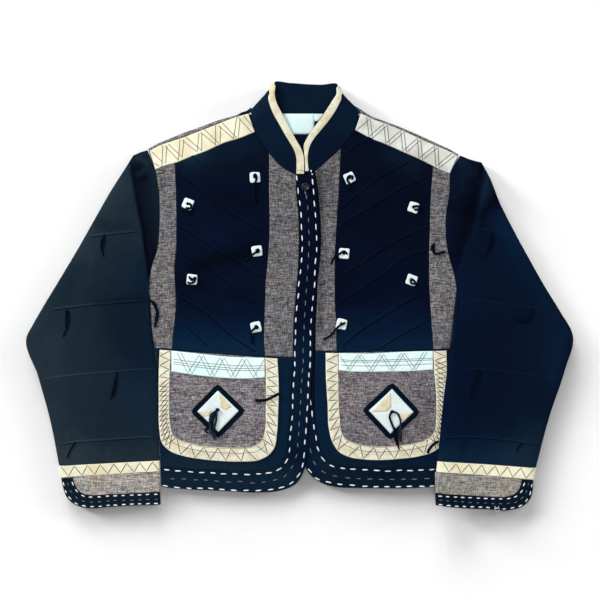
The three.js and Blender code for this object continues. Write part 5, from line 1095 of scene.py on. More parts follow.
    tw = [[[E["ix"][i] + (dir * 0.5 if i == 0 else dir * 0.3 * (i < 4)), lerp(max(cream_low(E["ix"][i]), E["iy"][i] + 0.6), E["iy"][i] + 0.25, f)] for f in (0, 0.5, 1)] for i in range(m)]
    shell(f"cuff_tweed_{hand}", dense(folded(tw, [[end[0], lerp(cream_low(end[0]), end[1] + 0.25, f)] for f in (0, 0.5, 1)]), 2.6), CLOTH, TWEED_CUFF, upright=False, roll=0.9, ripple=0.1, top_only=True, rests=())
    bd = [[[lerp(E["ix"][i] - dir * (0.25 if i < 4 else 0), E["ox"][i], f), lerp(E["iy"][i] - (0.25 if i >= 3 else 0), E["oy"][i], f)] for f in (0, 0.5, 1)] for i in range(m)]
    shell(f"cuff_edge_{hand}", dense(folded(bd, [[lerp(end[0], end[2], f), lerp(end[1] - 0.25, end[3], f)] for f in (0, 0.5, 1)]), 2.4), CLOTH, BAND, upright=False, roll=0.9, ripple=0.1, top_only=True, rests=())

# ------------------------------------------------------------------ collar and binding
half = COLLAR_CLOTH / 2


def fold_columns(hand):
    F, d = COLLAR_FOLD[hand], -1 if hand == "left" else 1
    tx, ty = F["t"][0] - F["s"][0], F["t"][1] - F["s"][1]
    L = math.hypot(tx, ty)
    nx, ny = d * ty / L, -d * tx / L

    def column(a):
        ca, sa = math.cos(math.radians(a)), math.sin(math.radians(a))

        def at(v):
            r = lerp(0.95, 4.1, v ** 0.8)
            z0 = half + 1.3 * float(smooth(v / 0.75)) * (1 - sa) / 2
            e = -(r + half) + r * ca - F["bow"] * math.sin(math.pi * v ** 1.6)
            return np.array([lerp(F["s"][0], F["t"][0], v) + nx * e, lerp(F["s"][1], F["t"][1], v) + ny * e, z0 + r + r * sa])
        return at
    return [column(a) for a in (90, 45, 0, -45, -90)]


def front_columns(hand):
    Cc = COLLAR[hand]
    return [(lambda v, k=k: np.array([lerp(Cc["sx"][k], Cc["tx"][k], v), lerp(Cc["sy"][k], Cc["ty"][k], v), lerp(Cc["sz"][k], Cc["tz"][k], v ** 0.8)])) for k in range(len(Cc["sx"]))]


B = COLLAR_BACK
back_cols = [(lambda v, k=k: np.array([lerp(B["sx"][k], B["tx"][k], v), lerp(B["sy"][k], B["ty"][k], v), half + 1.3 * float(smooth(v / 0.75))])) for k in range(len(B["sx"]))]
collar_cols = front_columns("left") + fold_columns("left") + back_cols + fold_columns("right")[::-1] + front_columns("right")[::-1]
grid = [[fn(v) for v in (0, 0.35, 0.7, 1)] for fn in collar_cols]
shell("collar", dense(grid, 2.6), COLLAR_CLOTH, NAVY_COLLAR, upright=False, roll=1.0, folds=COLLAR_FOLDS, ripple=0.12, rests=("cloth_back_body",))
rows, d0, nC, nF = [], COLLAR_CLOTH / 2 + SEAM + TRIM / 2, len(collar_cols), len(COLLAR["left"]["sx"])
for i, fn in enumerate(collar_cols):
    before, after = collar_cols[max(0, i - 1)], collar_cols[min(nC - 1, i + 1)]
    v0 = 1 - BINDING_WIDTH / np.linalg.norm(fn(0) - fn(1)) - {nF: 0.06, nF + 1: 0.03, nC - nF - 1: 0.06, nC - nF - 2: 0.03}.get(i, 0)
    line = []
    for v in (v0, (v0 + 1) / 2, 1.0):
        nrm = np.cross(fn(min(1, v + 0.05)) - fn(v - 0.05), after(v) - before(v))
        line.append(fn(v) + nrm / np.linalg.norm(nrm) * d0)
    rows.append(line)
rows = rows[nF:nC - nF]


def front_rows(hand):
    Bd = BINDING[hand]
    out = []
    for k in range(len(Bd["ox"])):
        line, last = [], 0.0
        for f in (0, 0.5, 1):
            x, y = lerp(Bd["ox"][k], Bd["ix"][k], f), lerp(Bd["oy"][k], Bd["iy"][k], f)
            last = max(drop("collar", x, y), last - 0.35)
            line.append(np.array([x, y, last + SEAM + TRIM / 2 + 0.1 + 0.35 * math.sin(math.pi * f)]))
        out.append(line)
    return out


rows = front_rows("left") + rows + front_rows("right")[::-1]
shell("collar_binding", dense(rows, 2.0), TRIM, BINDING_CLOTH, upright=False, roll=2.2, ripple=0.05, rests=("cloth_collar",))

# ------------------------------------------------------------------ pockets
for hand, dir in HANDS:
    P = POCKET[hand]
    n = len(P["ix"])
    body = []
    for i in range(n // 2):
        j = n - 1 - i
        ax, ay = lerp(P["ox"][i], P["ix"][i], 0.15), lerp(P["oy"][i], P["iy"][i], 0.15)
        bx, by = lerp(P["ox"][j], P["ix"][j], 0.15), lerp(P["oy"][j], P["iy"][j], 0.15)
        body.append([[lerp(ax, bx, f), lerp(ay, by, f), ON_FRONT + TRIM / 2 + float(puff(lerp(ax, bx, f), lerp(ay, by, f)))] for f in (0, 0.2, 0.4, 0.6, 0.8, 1)])
    shell(f"pocket_body_{hand}", dense(body, 3.2), TRIM, TWEED_POCKET, folds=POCKET_FOLDS, rests=(f"cloth_lower_front_{hand}",))
    on = lambda x, y: [x, y, ON_POCKET + TRIM / 2 + float(puff(x, y))]
    shell(f"pocket_border_{hand}", dense([[on(lerp(P["ix"][i], P["ox"][i], f), lerp(P["iy"][i], P["oy"][i], f)) for f in (0, 0.5, 1)] for i in range(n)], 2.2), TRIM, CREAM_BORDER, roll=1.8, ripple=0.3, folds=POCKET_FOLDS, rests=(f"cloth_pocket_body_{hand}",))
    Q = POCKET_TOP[hand]
    shell(f"pocket_top_{hand}", dense([[on(Q["x"][k], lerp(Q["top"][k], Q["bottom"][k], f)) for f in (0, 0.5, 1)] for k in range(len(Q["x"]))], 2.4), TRIM, WHITE_MOUTH, roll=1.6, ripple=0.15, rests=(f"cloth_pocket_body_{hand}",))


# ------------------------------------------------------------------ what lies on the pockets
for hand, dir in HANDS:
    D = DIAMOND[hand]
    corner = lambda h, j: np.array([D["x"] + h * math.cos(math.radians(90 + 90 * j + D["turn"])), D["y"] + h * math.sin(math.radians(90 + 90 * j + D["turn"]))])

    def around(h, bow=0.0, per=16, blunt=0.0):
        out = []
        for j in range(4):
            a, b = corner(h, j), corner(h, j + 1)
            for k in range(per):
                t = k / per
                p = lerp(a, b, t)
                mid = (a + b) / 2 - np.array([D["x"], D["y"]])
                p = p + mid / np.linalg.norm(mid) * bow * math.sin(math.pi * t)
                centre = np.array([D["x"], D["y"]])
                p = centre + (p - centre) * (1 - blunt * float(smooth((0.15 - min(t, 1 - t)) / 0.15)))
                out.append(p)
        return out
    z_on = ON_POCKET + 0.1 + TRIM / 2
    rings = []
    for f in (0, 0.06, 0.16, 0.5, 0.84, 0.94, 1):
        rings.append([[p[0], p[1], z_on + float(puff(p[0], p[1]))] for p in around(lerp(D["outer"] + 1.3, D["inner"] - 0.4, f), lerp(-0.3, -0.3, f), blunt=0.05 * (1 - f))])
    shell(f"pocket_frame_{hand}", rings, TRIM, FELT, wrap=True, roll=1.6, ripple=0.12, rests=(f"cloth_pocket_body_{hand}",))
    h = D["inner"] - 0.45
    c = [corner(h, j) for j in range(4)]
    N = 26
    grid = []
    for a in np.linspace(0, 1, N):
        line = []
        for b in np.linspace(0, 1, N):
            p = (1 - a) * (1 - b) * c[0] + (1 - a) * b * c[1] + a * b * c[2] + a * (1 - b) * c[3]
            line.append([p[0], p[1], z_on + float(puff(p[0], p[1]))])
        grid.append(line)
    shell(f"pocket_diamond_{hand}", grid, TRIM, WHITE, roll=1.2, ripple=0.2, rests=(f"cloth_pocket_body_{hand}",))


def patch(name, outline, on, lift, thick, material, cells=9):
    """A thin pieced patch with soft edges that follows the cloth under it: outline of 3 or 4 corners."""
    p = [np.array(q, float) for q in (outline if len(outline) == 4 else list(outline) + [outline[-1]])]
    grid = []
    for a in np.linspace(0, 1, cells):
        grid.append([(1 - a) * (1 - b) * p[0] + (1 - a) * b * p[1] + a * b * p[2] + a * (1 - b) * p[3] for b in np.linspace(0, 1, cells)])
    g = np.array([[[q[0], q[1], drop(on, q[0], q[1], lift)] for q in line] for line in grid])
    edge = np.minimum.outer(np.minimum(np.arange(cells), np.arange(cells)[::-1]), np.full(cells, 99))
    edge = np.minimum(edge, np.minimum(np.arange(cells), np.arange(cells)[::-1])[None, :])
    top = g.copy()
    top[..., 2] += thick * np.where(edge == 0, 0.15, 1.0)
    n = cells * cells
    verts = np.concatenate([top.reshape(-1, 3), g.reshape(-1, 3)])
    flip = np.cross((p[1] - p[0]).tolist() + [0], (p[3] - p[0] if len(outline) == 4 else p[2] - p[0]).tolist() + [0])[2] < 0
    faces = [grid_faces(cells, cells, False, 0, not flip), grid_faces(cells, cells, False, n, flip)]
    loop = [(0, c) for c in range(cells)] + [(r, cells - 1) for r in range(1, cells)] + [(cells - 1, c) for c in range(cells - 2, -1, -1)] + [(r, 0) for r in range(cells - 2, 0, -1)]
    ids = np.array([r * cells + c for r, c in loop])
    quad = np.stack([np.roll(ids, -1), ids, ids + n, np.roll(ids, -1) + n], -1)
    faces.append(quad if not flip else quad[:, ::-1])
    obj = new_object(name, verts, np.concatenate(faces), material)
    bm_clean(obj)
    return obj


def bm_clean(obj):
    face_out(obj, 1e-6)


WITH = {}


def goes_with(node, obj):
    WITH.setdefault(node, []).append(obj)


patches = {
    "left": [[[-125.2, -149.3], [-105.7, -171], [-114.7, -176], [-122.5, -172.3]], [[-156.9, -178.8], [-135.5, -176], [-140.1, -184.7], [-149.4, -186.5]]],
    "right": [[[140.1, -146.2], [141.4, -170.7], [133.9, -178.2], [111.6, -178.8]], [[152.8, -180], [173, -179.7], [160.3, -194.9], [154.7, -189.6]]],
}
for hand, dir in HANDS:
    for k, outline in enumerate(patches[hand]):
        goes_with(f"pocket_diamond_{hand}", patch(f"pinwheel_patch_{hand}_{k + 1}", [p for p in outline], f"pocket_diamond_{hand}", 0.05, 0.35, BEIGE))


# ------------------------------------------------------------------ yarn
def strand(name, points, on, radius, material, lift=0.0, sides=10, step=1.2, ply=0.16, twist=7.0, arch=None, tip=0.55):
    """A soft two-ply yarn lying on the cloth along a smooth path."""
    flat = np.array([[p[0], p[1], 0.0] for p in points])
    c = refine(flat[:, None, :], 0, step, edge=())[:, 0]
    s = np.concatenate([[0], np.cumsum(np.linalg.norm(np.diff(c, axis=0), axis=1))])
    z = np.array([drop(on, p[0], p[1]) for p in c])
    z = np.convolve(np.pad(z, 2, mode="edge"), np.ones(5) / 5, "valid")
    c[:, 2] = z + radius * 0.92 + lift
    if arch is not None:
        c[:, 2] += arch * np.sin(np.pi * s / s[-1])
    n = len(c)
    tan = np.gradient(c, axis=0)
    tan /= np.linalg.norm(tan, axis=1, keepdims=True)
    side = np.cross(tan, [0, 0, 1.0])
    side /= np.maximum(np.linalg.norm(side, axis=1, keepdims=True), 1e-6)
    up = np.cross(side, tan)
    verts = []
    for i in range(n):
        t = s[i] / s[-1]
        r = radius * (0.35 + 0.65 * math.sqrt(max(0.0, 1 - (1 - min(1, s[i] / radius / 1.2)) ** 2))) * (1 - (1 - tip) * max(0, t - 0.85) / 0.15)
        if s[-1] - s[i] < radius:
            r *= 0.45 + 0.55 * (s[-1] - s[i]) / radius
        for k in range(sides):
            a = 2 * math.pi * k / sides
            rr = r * (1 + ply * math.cos(2 * (a - s[i] / twist * 2 * math.pi)))
            verts.append(c[i] + side[i] * math.cos(a) * rr + up[i] * math.sin(a) * rr * 0.85)
    faces = [list(map(int, q)) for q in grid_faces(n, sides, True)]
    faces.append(list(range(sides)))
    faces.append([(n - 1) * sides + k for k in range(sides)][::-1])
    obj = new_object(name, verts, faces, material)
    bm_clean(obj)
    return obj, c, float(s[-1])


ZONES = {"left": ["sleeve_left", "chest_strip_outer_left"], "right": ["sleeve_right", "chest_strip_outer_right"]}
TIES = {
    "tie_sleeve_left_1": ([[-302.2, 96.5], [-307.5, 82.5], [-303.8, 60.8]], [[-302.9, 94.9], [-304.4, 77.9], [-306.9, 67]]),
    "tie_sleeve_left_2": ([[-359.6, -21.3], [-358.1, -39.9], [-366.6, -63.2]], [[-361.2, -21.3], [-362.1, -36.8], [-361.2, -53.9]]),
    "tie_sleeve_left_3": ([[-282.1, -115.9], [-287.5, -136], [-292.9, -160.8]], [[-283.7, -117.4], [-284.3, -136], [-288.6, -156.2]]),
    "tie_strip_left": ([[-228.2, -8.9], [-220.9, -24.4], [-225.4, -49.2]], [[-231.9, -6.7], [-225.1, -11.1], [-221.7, -21.3], [-224.1, -39.9]]),
    "tie_sleeve_right_1": ([[297.6, 99.6], [292.9, 81], [286.8, 60.8]], [[298.5, 96.5], [296.1, 79.4], [290.8, 68.6]]),
    "tie_sleeve_right_2": ([[359.6, -19.8], [349.5, -38.4], [327.1, -32.9]], [[361.2, -19.8], [355.9, -34.6], [344.1, -39.1]]),
    "tie_sleeve_right_3": ([[277.4, -115.9], [268.9, -134.5], [261.9, -156.2]], [[279, -115.9], [275, -132.9], [267.5, -150]]),
    "tie_strip_right": ([[207.1, 81.6], [208.5, 66.1], [226.3, 70.1]], [[208.6, 82.5], [203.7, 74.2], [207.7, 68]]),
}
YR = 1.5
for node, (main, second) in TIES.items():
    hand = "left" if "left" in node else "right"
    on = [f"chest_strip_outer_{hand}", f"chest_panel_{hand}"] if "strip" in node else [f"sleeve_{hand}"]
    yr = YR * (1.35 if "strip" in node else 0.9)
    obj, c, length = strand("yarn_" + node, main, on, yr, YARN)
    other, _, _ = strand("yarn_" + node + "_second", second, on, yr * 0.9, YARN, lift=0.25)
    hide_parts(node)
    print("CORD", node, round(length, 1))
TASSELS = {
    "left": ([[[-126.2, -175.7], [-133, -181], [-137.3, -198], [-132.4, -221.9]],
        [[[-128, -176.3], [-136.4, -182.5], [-140.1, -199.6], [-145.7, -207.9], [-141.7, -212.9]], [[-128.7, -177.9], [-129.6, -190.3], [-132.7, -207.3], [-129.3, -219.7]],
         [[-130.2, -178.5], [-134.8, -191.8], [-134.8, -205.8], [-124.6, -212.6]], [[-131.1, -179.4], [-138.6, -190.3], [-138, -208.9], [-134.8, -216.6]]]]),
    "right": ([[[143.2, -178.2], [138.9, -183.4], [141.7, -196.5], [148.2, -212], [152.8, -236.8]],
        [[[142, -178.5], [149.4, -180], [154.7, -190.3], [155.6, -204.2], [157.5, -227.5]], [[151.3, -204.2], [148.8, -218.2], [149.4, -230.6]],
         [[154.4, -201.1], [152.5, -213.5], [155, -223.7]], [[146.6, -202.7], [146.3, -213.5], [147.2, -224.4]]]]),
}
for hand, dir in HANDS:
    node, on = f"pocket_tassel_{hand}", [f"pocket_diamond_{hand}", f"pocket_frame_{hand}", f"pocket_body_{hand}", f"pocket_border_{hand}"]
    path, others = TASSELS[hand]
    thick = 2.1 if hand == "left" else 1.7
    obj, c, length = strand("yarn_" + node, path, on, thick, YARN_SLATE if hand == "left" else YARN, lift=0.1, ply=0.12)
    for k, p in enumerate(others):
        thin = thick * (0.9 if k < 2 or hand == "left" else 0.75)
        strand(f"yarn_{node}_strand_{k + 2}", p, on, thin, YARN_SLATE if (k + (hand == "right")) % 2 else YARN, lift=0.3 + 0.5 * (k % 3), ply=0.12)[0]
    knot, _, _ = strand("yarn_" + node + "_knot", [[c[0][0] - 3.8, c[0][1] - 1.8], [c[0][0] - 0.4, c[0][1] + 0.6], [c[0][0] + 2.2, c[0][1] + 0.1]], on, 3.0 if hand == "left" else 2.0, YARN, lift=0.9, ply=0.1, tip=0.8)
    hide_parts(node)
    print("CORD", node, round(length, 1))
# the loose yarns that come out from under the pocket's edge and the sleeve
for name, path, on in (("yarn_pocket_edge_left", [[-31.6, -150], [-41.9, -155.2], [-52.7, -160.2], [-68.2, -161.4]], ["pocket_border_left", "pocket_body_left", "lower_front_left"]),
                       ("yarn_pocket_edge_right", [[213.9, -223.7], [204, -231.2], [196.8, -241.4]], ["pocket_border_right", "pocket_body_right"])):
    obj, c, length = strand(name, path, on, 2.1, YARN, lift=0.1, tip=1.0)
    strand(name + "_knot", [[c[-1][0] + 3.4, c[-1][1] + 0.6], [c[-1][0] + 0.6, c[-1][1] + 0.4], [c[-1][0] - 1.0, c[-1][1] - 0.3]], on, 2.9, YARN, lift=0.2, tip=0.9)
    if length >= 30:
        print("CORD", name, round(length, 1))

# ------------------------------------------------------------------ tied squares
TAILS = {
    "l1": [[-72.2, 185.8], [-69.1, 188.6], [-67.3, 183.9], [-69.1, 175.5], [-71.9, 164.7], [-69.1, 143]],
    "l2": [[-173, 143.9], [-168, 140.8], [-169.6, 135.9], [-175.5, 136.2], [-172.7, 130.6], [-166.8, 128.1]],
    "l3": [[-65.7, 74.2], [-63.6, 69.2], [-68.8, 67.3], [-75, 63.3], [-80.6, 58.4], [-85.2, 54]],
    "l4": [[-172.1, 30.8], [-166.8, 25.2], [-161.8, 28.9], [-163.4, 22.7], [-169.6, 19.9], [-174.5, 22.1]],
    "l5": [[-69.1, -44.6], [-65.1, -48.6], [-70.4, -50.1], [-75.3, -54.8], [-74.7, -62.5], [-73.8, -74]],
    "r1": [[79.7, 179.6], [81.5, 185.1], [75.3, 185.5], [73.2, 179.3], [76.9, 173.4], [73.8, 164.1]],
    "r2": [[174.5, 137.7], [179.2, 139.3], [185.1, 138.6], [181.3, 133.7], [175.8, 134]],
    "r3": [[73.5, 64.6], [68.2, 69.5], [62, 66.1], [55.8, 63], [50.5, 56.2], [48.1, 48.4]],
    "r4": [[170.2, 26.1], [175.2, 25.2], [178.2, 19.6], [173, 19.6], [169.9, 24.3]],
    "r5": [[70.7, -40.5], [66, -43], [60.5, -46.1], [54.2, -52.3], [48.1, -60.1], [36.3, -67.2]],
}
for name, sx, sy, turn in SQUARES:
    hand = "left" if name[0] == "l" else "right"
    h, hole, a0 = SQUARE / 2 * 1.01, 2.2, math.radians(turn)
    on = [f"chest_panel_{hand}", f"chest_strip_inner_{hand}"]
    rings = []
    wob = (hash_of(name) % 7) * 0.9
    for f in (0, 0.05, 0.14, 0.3, 0.55, 0.8, 0.93, 1):
        line = []
        for k in range(56):
            a = 2 * math.pi * k / 56
            ca, sa = math.cos(a), math.sin(a)
            e = 7.0
            ro = h / ((abs(ca) ** e + abs(sa) ** e) ** (1 / e)) * (1 + 0.018 * math.sin(3 * a + wob) + 0.012 * math.sin(5 * a + 2 * wob))
            r = lerp(ro, hole, f)
            x, y = r * ca, r * sa
            line.append([sx + x * math.cos(a0) - y * math.sin(a0), sy + x * math.sin(a0) + y * math.cos(a0), 0])
        rings.append(line)
    g = np.array(rings)
    for r in range(g.shape[0]):
        for k in range(g.shape[1]):
            g[r, k, 2] = drop(on, g[r, k, 0], g[r, k, 1]) + 0.25 + 0.9
    shell(f"square_{name}", g, 1.7, WHITE, wrap=True, roll=1.5, ripple=0.05, rests=(f"cloth_chest_panel_{hand}",))
    obj, c, length = strand(f"yarn_square_{name}", TAILS[name], [f"square_{name}"] + on, 1.7, YARN, lift=0.15, ply=0.12, tip=0.8)
    goes_with(f"square_{name}", obj)
    bead, _, _ = strand(f"yarn_knot_{name}", [[sx - 1.6, sy - 0.8], [sx, sy + 1.0], [sx + 1.6, sy + 0.2]], [f"chest_panel_{hand}", f"chest_strip_inner_{hand}"], 2.1, YARN, lift=0.2, tip=0.9)
    goes_with(f"square_{name}", bead)

# ------------------------------------------------------------------ labels inside the neck, left bare
for node, b, bend in (("neck_label", LABEL, 0.35), ("size_tab", TAB, 0.2)):
    grid = []
    for f in np.linspace(0, 1, 12):
        y = lerp(b["y1"], b["y0"], f)
        y += 2.0 * (1 - f)
        grid.append([[x, y, CLOTH + SEAM + TRIM / 2 + bend * math.sin(math.pi * f) + 0.15 * math.sin(3 * f + x * 0.08)] for x in np.linspace(b["x0"], b["x1"], 24 if node == "neck_label" else 8)])
    shell(node, grid, TRIM, LABEL_CLOTH, roll=0.8, ripple=0.0, rests=("cloth_back_body",))

# ------------------------------------------------------------------ button
prof = [(0.0, 1.55), (1.6, 1.5), (3.2, 1.62), (3.9, 1.9), (4.5, 2.42), (5.2, 2.62), (5.9, 2.5), (6.35, 2.1), (6.5, 1.4), (6.35, 0.7), (5.9, 0.25), (5.0, 0.0), (0.0, 0.0)]
seg, base_z = 64, FRONT_Z + LAP + CLOTH + 0.4
verts, faces = [], []
for r, z in prof[1:-1]:
    for k in range(seg):
        a = 2 * math.pi * k / seg
        verts.append([BUTTON["x"] + r * math.cos(a), BUTTON["y"] + r * math.sin(a), base_z + z])
m = len(prof) - 2
verts += [[BUTTON["x"], BUTTON["y"], base_z + prof[0][1]], [BUTTON["x"], BUTTON["y"], base_z]]
faces = grid_faces(m, seg, True).tolist()
faces += [[k, (k + 1) % seg, m * seg] for k in range(seg)] + [[(m - 1) * seg + (k + 1) % seg, (m - 1) * seg + k, m * seg + 1] for k in range(seg)]
button = new_object("neck_button", verts, faces, HORN)
bm_clean(button)
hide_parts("button")


# ------------------------------------------------------------------ the back's seam edge that shows past the shoulder bands' inner ends
def seam_turn(name, outer, inner, material):
    verts, n = [], len(outer)
    for (ox, oy), (ix, iy) in zip(outer, inner):
        verts += [[ox, oy, 0.5], [ix, iy, 0.5], [ix, iy, 1.5], [lerp(ox, ix, 0.35), lerp(oy, iy, 0.35), 1.7], [ox, oy, 1.2]]
    faces = [[5 * k + j, 5 * k + (j + 1) % 5, 5 * k + 5 + (j + 1) % 5, 5 * k + 5 + j] for k in range(n - 1) for j in range(5)]
    faces += [[4, 3, 2, 1, 0], [5 * (n - 1) + j for j in range(5)]]
    obj = new_object(name, verts, faces, material, smooth_faces=False)
    bm_clean(obj)


seam_turn("back_seam_turn_left", ([-101.4, 278.9], [-95, 283], [-89.9, 285.6], [-83.4, 287.4], [-76, 293]),
          ([-100.4, 276.3], [-94.2, 277.8], [-88.4, 280], [-82.2, 281.6], [-72.9, 288.1]), NAVY_COLLAR)
seam_turn("back_seam_turn_right", ([82.2, 297.1], [89, 293.3], [95.8, 289], [104.5, 283.1], [111.6, 278.5]),
          ([81.2, 293.3], [87.7, 287.8], [94.2, 281.9], [102.3, 277.8], [111, 275.4]), TWEED)

# ------------------------------------------------------------------ stitches, as joined meshes
def capsule(length, width, height, rings=7, sides=8):
    out = []
    for i in range(rings):
        u = -1 + 2 * i / (rings - 1)
        r = max(0.16, (1 - abs(u) ** 3.2)) ** 0.5
        for k in range(sides):
            a = 2 * math.pi * k / sides
            out.append([u * length / 2, math.cos(a) * width / 2 * r, math.sin(a) * height / 2 * r - 0.22 * height * u * u])
    faces = grid_faces(rings, sides, True).tolist()
    faces += [list(range(sides))[::-1][::-1], [(rings - 1) * sides + k for k in range(sides)][::-1]]
    return np.array(out), faces


def stitches(name, rows, on, material, length=9.0, width=2.1, height=1.0, spread=0.12, seed=1, own=None):
    """Running stitches: rows are lists of stitch centres, each laid along its row on the cloth."""
    rng = np.random.default_rng(seed)
    V, F = [], []
    for row in rows:
        p = np.array(row, float)
        t = np.gradient(p, axis=0)
        for i in range(len(p)):
            L = length * (1 + spread * rng.uniform(-1, 1))
            w = width * (1 + 0.12 * rng.uniform(-1, 1))
            c, faces = capsule(L, w, height)
            a = math.atan2(t[i, 1], t[i, 0]) + rng.uniform(-0.09, 0.09)
            ca, sa = math.cos(a), math.sin(a)
            x, y = p[i, 0] + rng.uniform(-0.3, 0.3), p[i, 1] + rng.uniform(-0.3, 0.3)
            z0, z1, z2 = (drop(on, x + ca * L * k, y + sa * L * k) for k in (-0.42, 0, 0.42))
            q = np.empty_like(c)
            q[:, 0] = x + c[:, 0] * ca - c[:, 1] * sa
            q[:, 1] = y + c[:, 0] * sa + c[:, 1] * ca
            u = c[:, 0] / (0.42 * L)
            q[:, 2] = c[:, 2] + height * 0.36 + z1 + (z2 - z0) / 2 * u + ((z0 + z2) / 2 - z1) * u * u
            base = len(V) * len(c)
            F += [[base + j for j in f] for f in faces]
            V.append(q)
    obj = new_object(name, np.concatenate(V), F, material)
    bm_clean(obj)
    if own:
        goes_with(own, obj)
    return obj


def paced(path, pitch, start=0.5, spare=0.0, jitter=0.0, seed=3):
    """Points along a smooth path at an even pitch."""
    c = refine(np.array([[p[0], p[1], 0.0] for p in path])[:, None, :], 0, 1.0, edge=())[:, 0, :2]
    s = np.concatenate([[0], np.cumsum(np.linalg.norm(np.diff(c, axis=0), axis=1))])
    rng = np.random.default_rng(seed)
    n = int((s[-1] - spare) / pitch)
    at = (np.arange(n) + start) * (s[-1] - spare) / n + rng.uniform(-jitter, jitter, n)
    return [[float(np.interp(v, s, c[:, 0])), float(np.interp(v, s, c[:, 1]))] for v in at]


def ribbon(name, legs, on, material, width=1.1, height=0.4, own=None, piece=5.0, level=None):
    """Thin threads that lie on the cloth: legs are lists of points joined by straight lines."""
    V, F = [], []
    count = 0
    for leg in legs:
        pts = [leg[0]]
        for a, b in zip(leg[:-1], leg[1:]):
            L = math.hypot(b[0] - a[0], b[1] - a[1])
            n = max(1, int(round(L / piece)))
            pts += [[lerp(a[0], b[0], k / n), lerp(a[1], b[1], k / n)] for k in range(1, n + 1)]
        p = np.array([[q[0], q[1], drop(on, q[0], q[1], 0.04) if level is None else level] for q in pts])
        t = np.gradient(p[:, :2], axis=0)
        L = np.maximum(np.linalg.norm(t, axis=1, keepdims=True), 1e-6)
        nrm = np.stack([-t[:, 1], t[:, 0]], -1) / L
        half = width / 2
        for i in range(len(p)):
            for dx, dz in ((-half, -0.1), (-half * 0.6, height * 0.8), (half * 0.6, height * 0.8), (half, -0.1)):
                V.append([p[i, 0] + nrm[i, 0] * dx, p[i, 1] + nrm[i, 1] * dx, p[i, 2] + dz])
        m = len(p)
        F += [[count + v for v in f] for f in grid_faces(m, 4, True).tolist()]
        F += [[count + k for k in range(4)], [count + (m - 1) * 4 + k for k in (3, 2, 1, 0)]]
        count += 4 * m
    obj = new_object(name, V, F, material)
    bm_clean(obj)
    if own:
        goes_with(own, obj)
    return obj


def zigzag(A, B, period, start=0.0, inset=0.08, lean=0.5, jitter=0.5, seed=1, reach=(0.0, 1.0)):
    """One zigzag line between two edges, as a list of turning points."""
    rng = np.random.default_rng(seed)
    def curve(P):
        c = refine(np.array([[p[0], p[1], 0.0] for p in P])[:, None, :], 0, 2.0, edge=())[:, 0, :2]
        s = np.concatenate([[0], np.cumsum(np.linalg.norm(np.diff(c, axis=0), axis=1))])
        return c, s / s[-1], s[-1]
    (a, sa, la), (b, sb, lb) = curve(A), curve(B)
    L = (la + lb) / 2
    n = int(L * (reach[1] - reach[0]) / (period / 2))
    out = []
    for k in range(n + 1):
        f = reach[0] + (start + k * period / 2) / L + rng.uniform(-jitter, jitter) / L
        if f > reach[1]:
            break
        pa = np.array([np.interp(f, sa, a[:, 0]), np.interp(f, sa, a[:, 1])])
        pb = np.array([np.interp(f, sb, b[:, 0]), np.interp(f, sb, b[:, 1])])
        q = lerp(pa, pb, inset if k % 2 == 0 else 1 - inset)
        out.append([float(q[0]), float(q[1])])
    return out


# the long bands down the front and along the hem
L_IN = [-4.7, 183.3, -3.1, 163.1, 0, 144.5, 1.6, 125.9, 2.3, 107.3, 3.1, 90.3, 3.1, 72.5, 2.3, 56.2, 0.8, 37.6, -1.6, 19, -2.3, 0.4, -4.7, -18.2, -6.2, -36.8, -7, -55.4, -7, -70.9, -7.8, -89.5, -7.8, -105, -8.5, -120.5, -10.1, -137.6, -10.8, -155.4, -11.6, -170.9, -12.4, -188.7, -14, -205, -15.5, -219.7, -16.3, -238.3, -20.9, -255.4, -32.6, -268.5, -48.8, -274, -64.3, -275.5, -82.2, -276.3, -100.8, -275.5, -118.6, -275.5, -134.8, -274, -151.9, -273.2, -169.7, -272.4, -189.1, -270.9, -206.2, -269.3]
L_OUT = [19.4, 177.1, 20.9, 161.6, 22.5, 143, 24, 125.9, 24.8, 107.3, 25.6, 90.3, 25.6, 72.5, 24, 54.6, 23.2, 36, 22.5, 17.4, 20.2, -2.7, 18.6, -19.8, 17.1, -38.4, 16.3, -57, 16.3, -73.2, 16.3, -89.5, 15.5, -106.6, 14, -122.1, 13.2, -136, 12.4, -154.6, 11.6, -173.2, 10.1, -191.8, 9.3, -208.9, 7.8, -225.9, 6.2, -246.1, 3.9, -261.6, -2.3, -277.1, -13.2, -289.5, -28.7, -296.1, -45, -299.7, -64.3, -301.2, -83.7, -301.2, -102.3, -300.6, -120.9, -299.7, -138, -298.1, -155, -297.5, -172.1, -297.5, -190.7, -296.3, -208.5, -293.8]
L_MID = [10.2, 153.8, 11.8, 136.8, 13.3, 118.2, 14, 99.6, 14, 81.8, 13.3, 63.9, 12.4, 45.3, 11.2, 26.7, 9.6, 8.1, 8.4, -10.5, 7.1, -29.1, 6.2, -47.7, 5.3, -66.3, 4.7, -84.1, 4.7, -100.4, 4, -115.1, 2.8, -130.6, 1.6, -146.9, 0.9, -163.9, 0, -181, -1.2, -198, -2.2, -213.5, -3.7, -230.6, -5.9, -247.6, -12.4, -264.7, -23.2, -278.6, -38.8, -284.8, -55.8, -287.9, -73.6, -289.5, -93, -287.1, -110.8, -287.9, -128.7, -286.4, -145.7, -284.8, -161.2, -284.8, -179.8, -283.3, -197.6, -283.3]
R_IN = [16.4, -163.9, 18.6, -182.5, 21.7, -202.7, 24.8, -219.7, 27.9, -236.8, 35.6, -252.3, 49.6, -263.1, 66.7, -267, 82.2, -267.8, 100.8, -269.3, 119.4, -270.1, 136.4, -270.9, 154.2, -270.1, 170.5, -270.1, 187.6, -269.3, 204.6, -268.5]
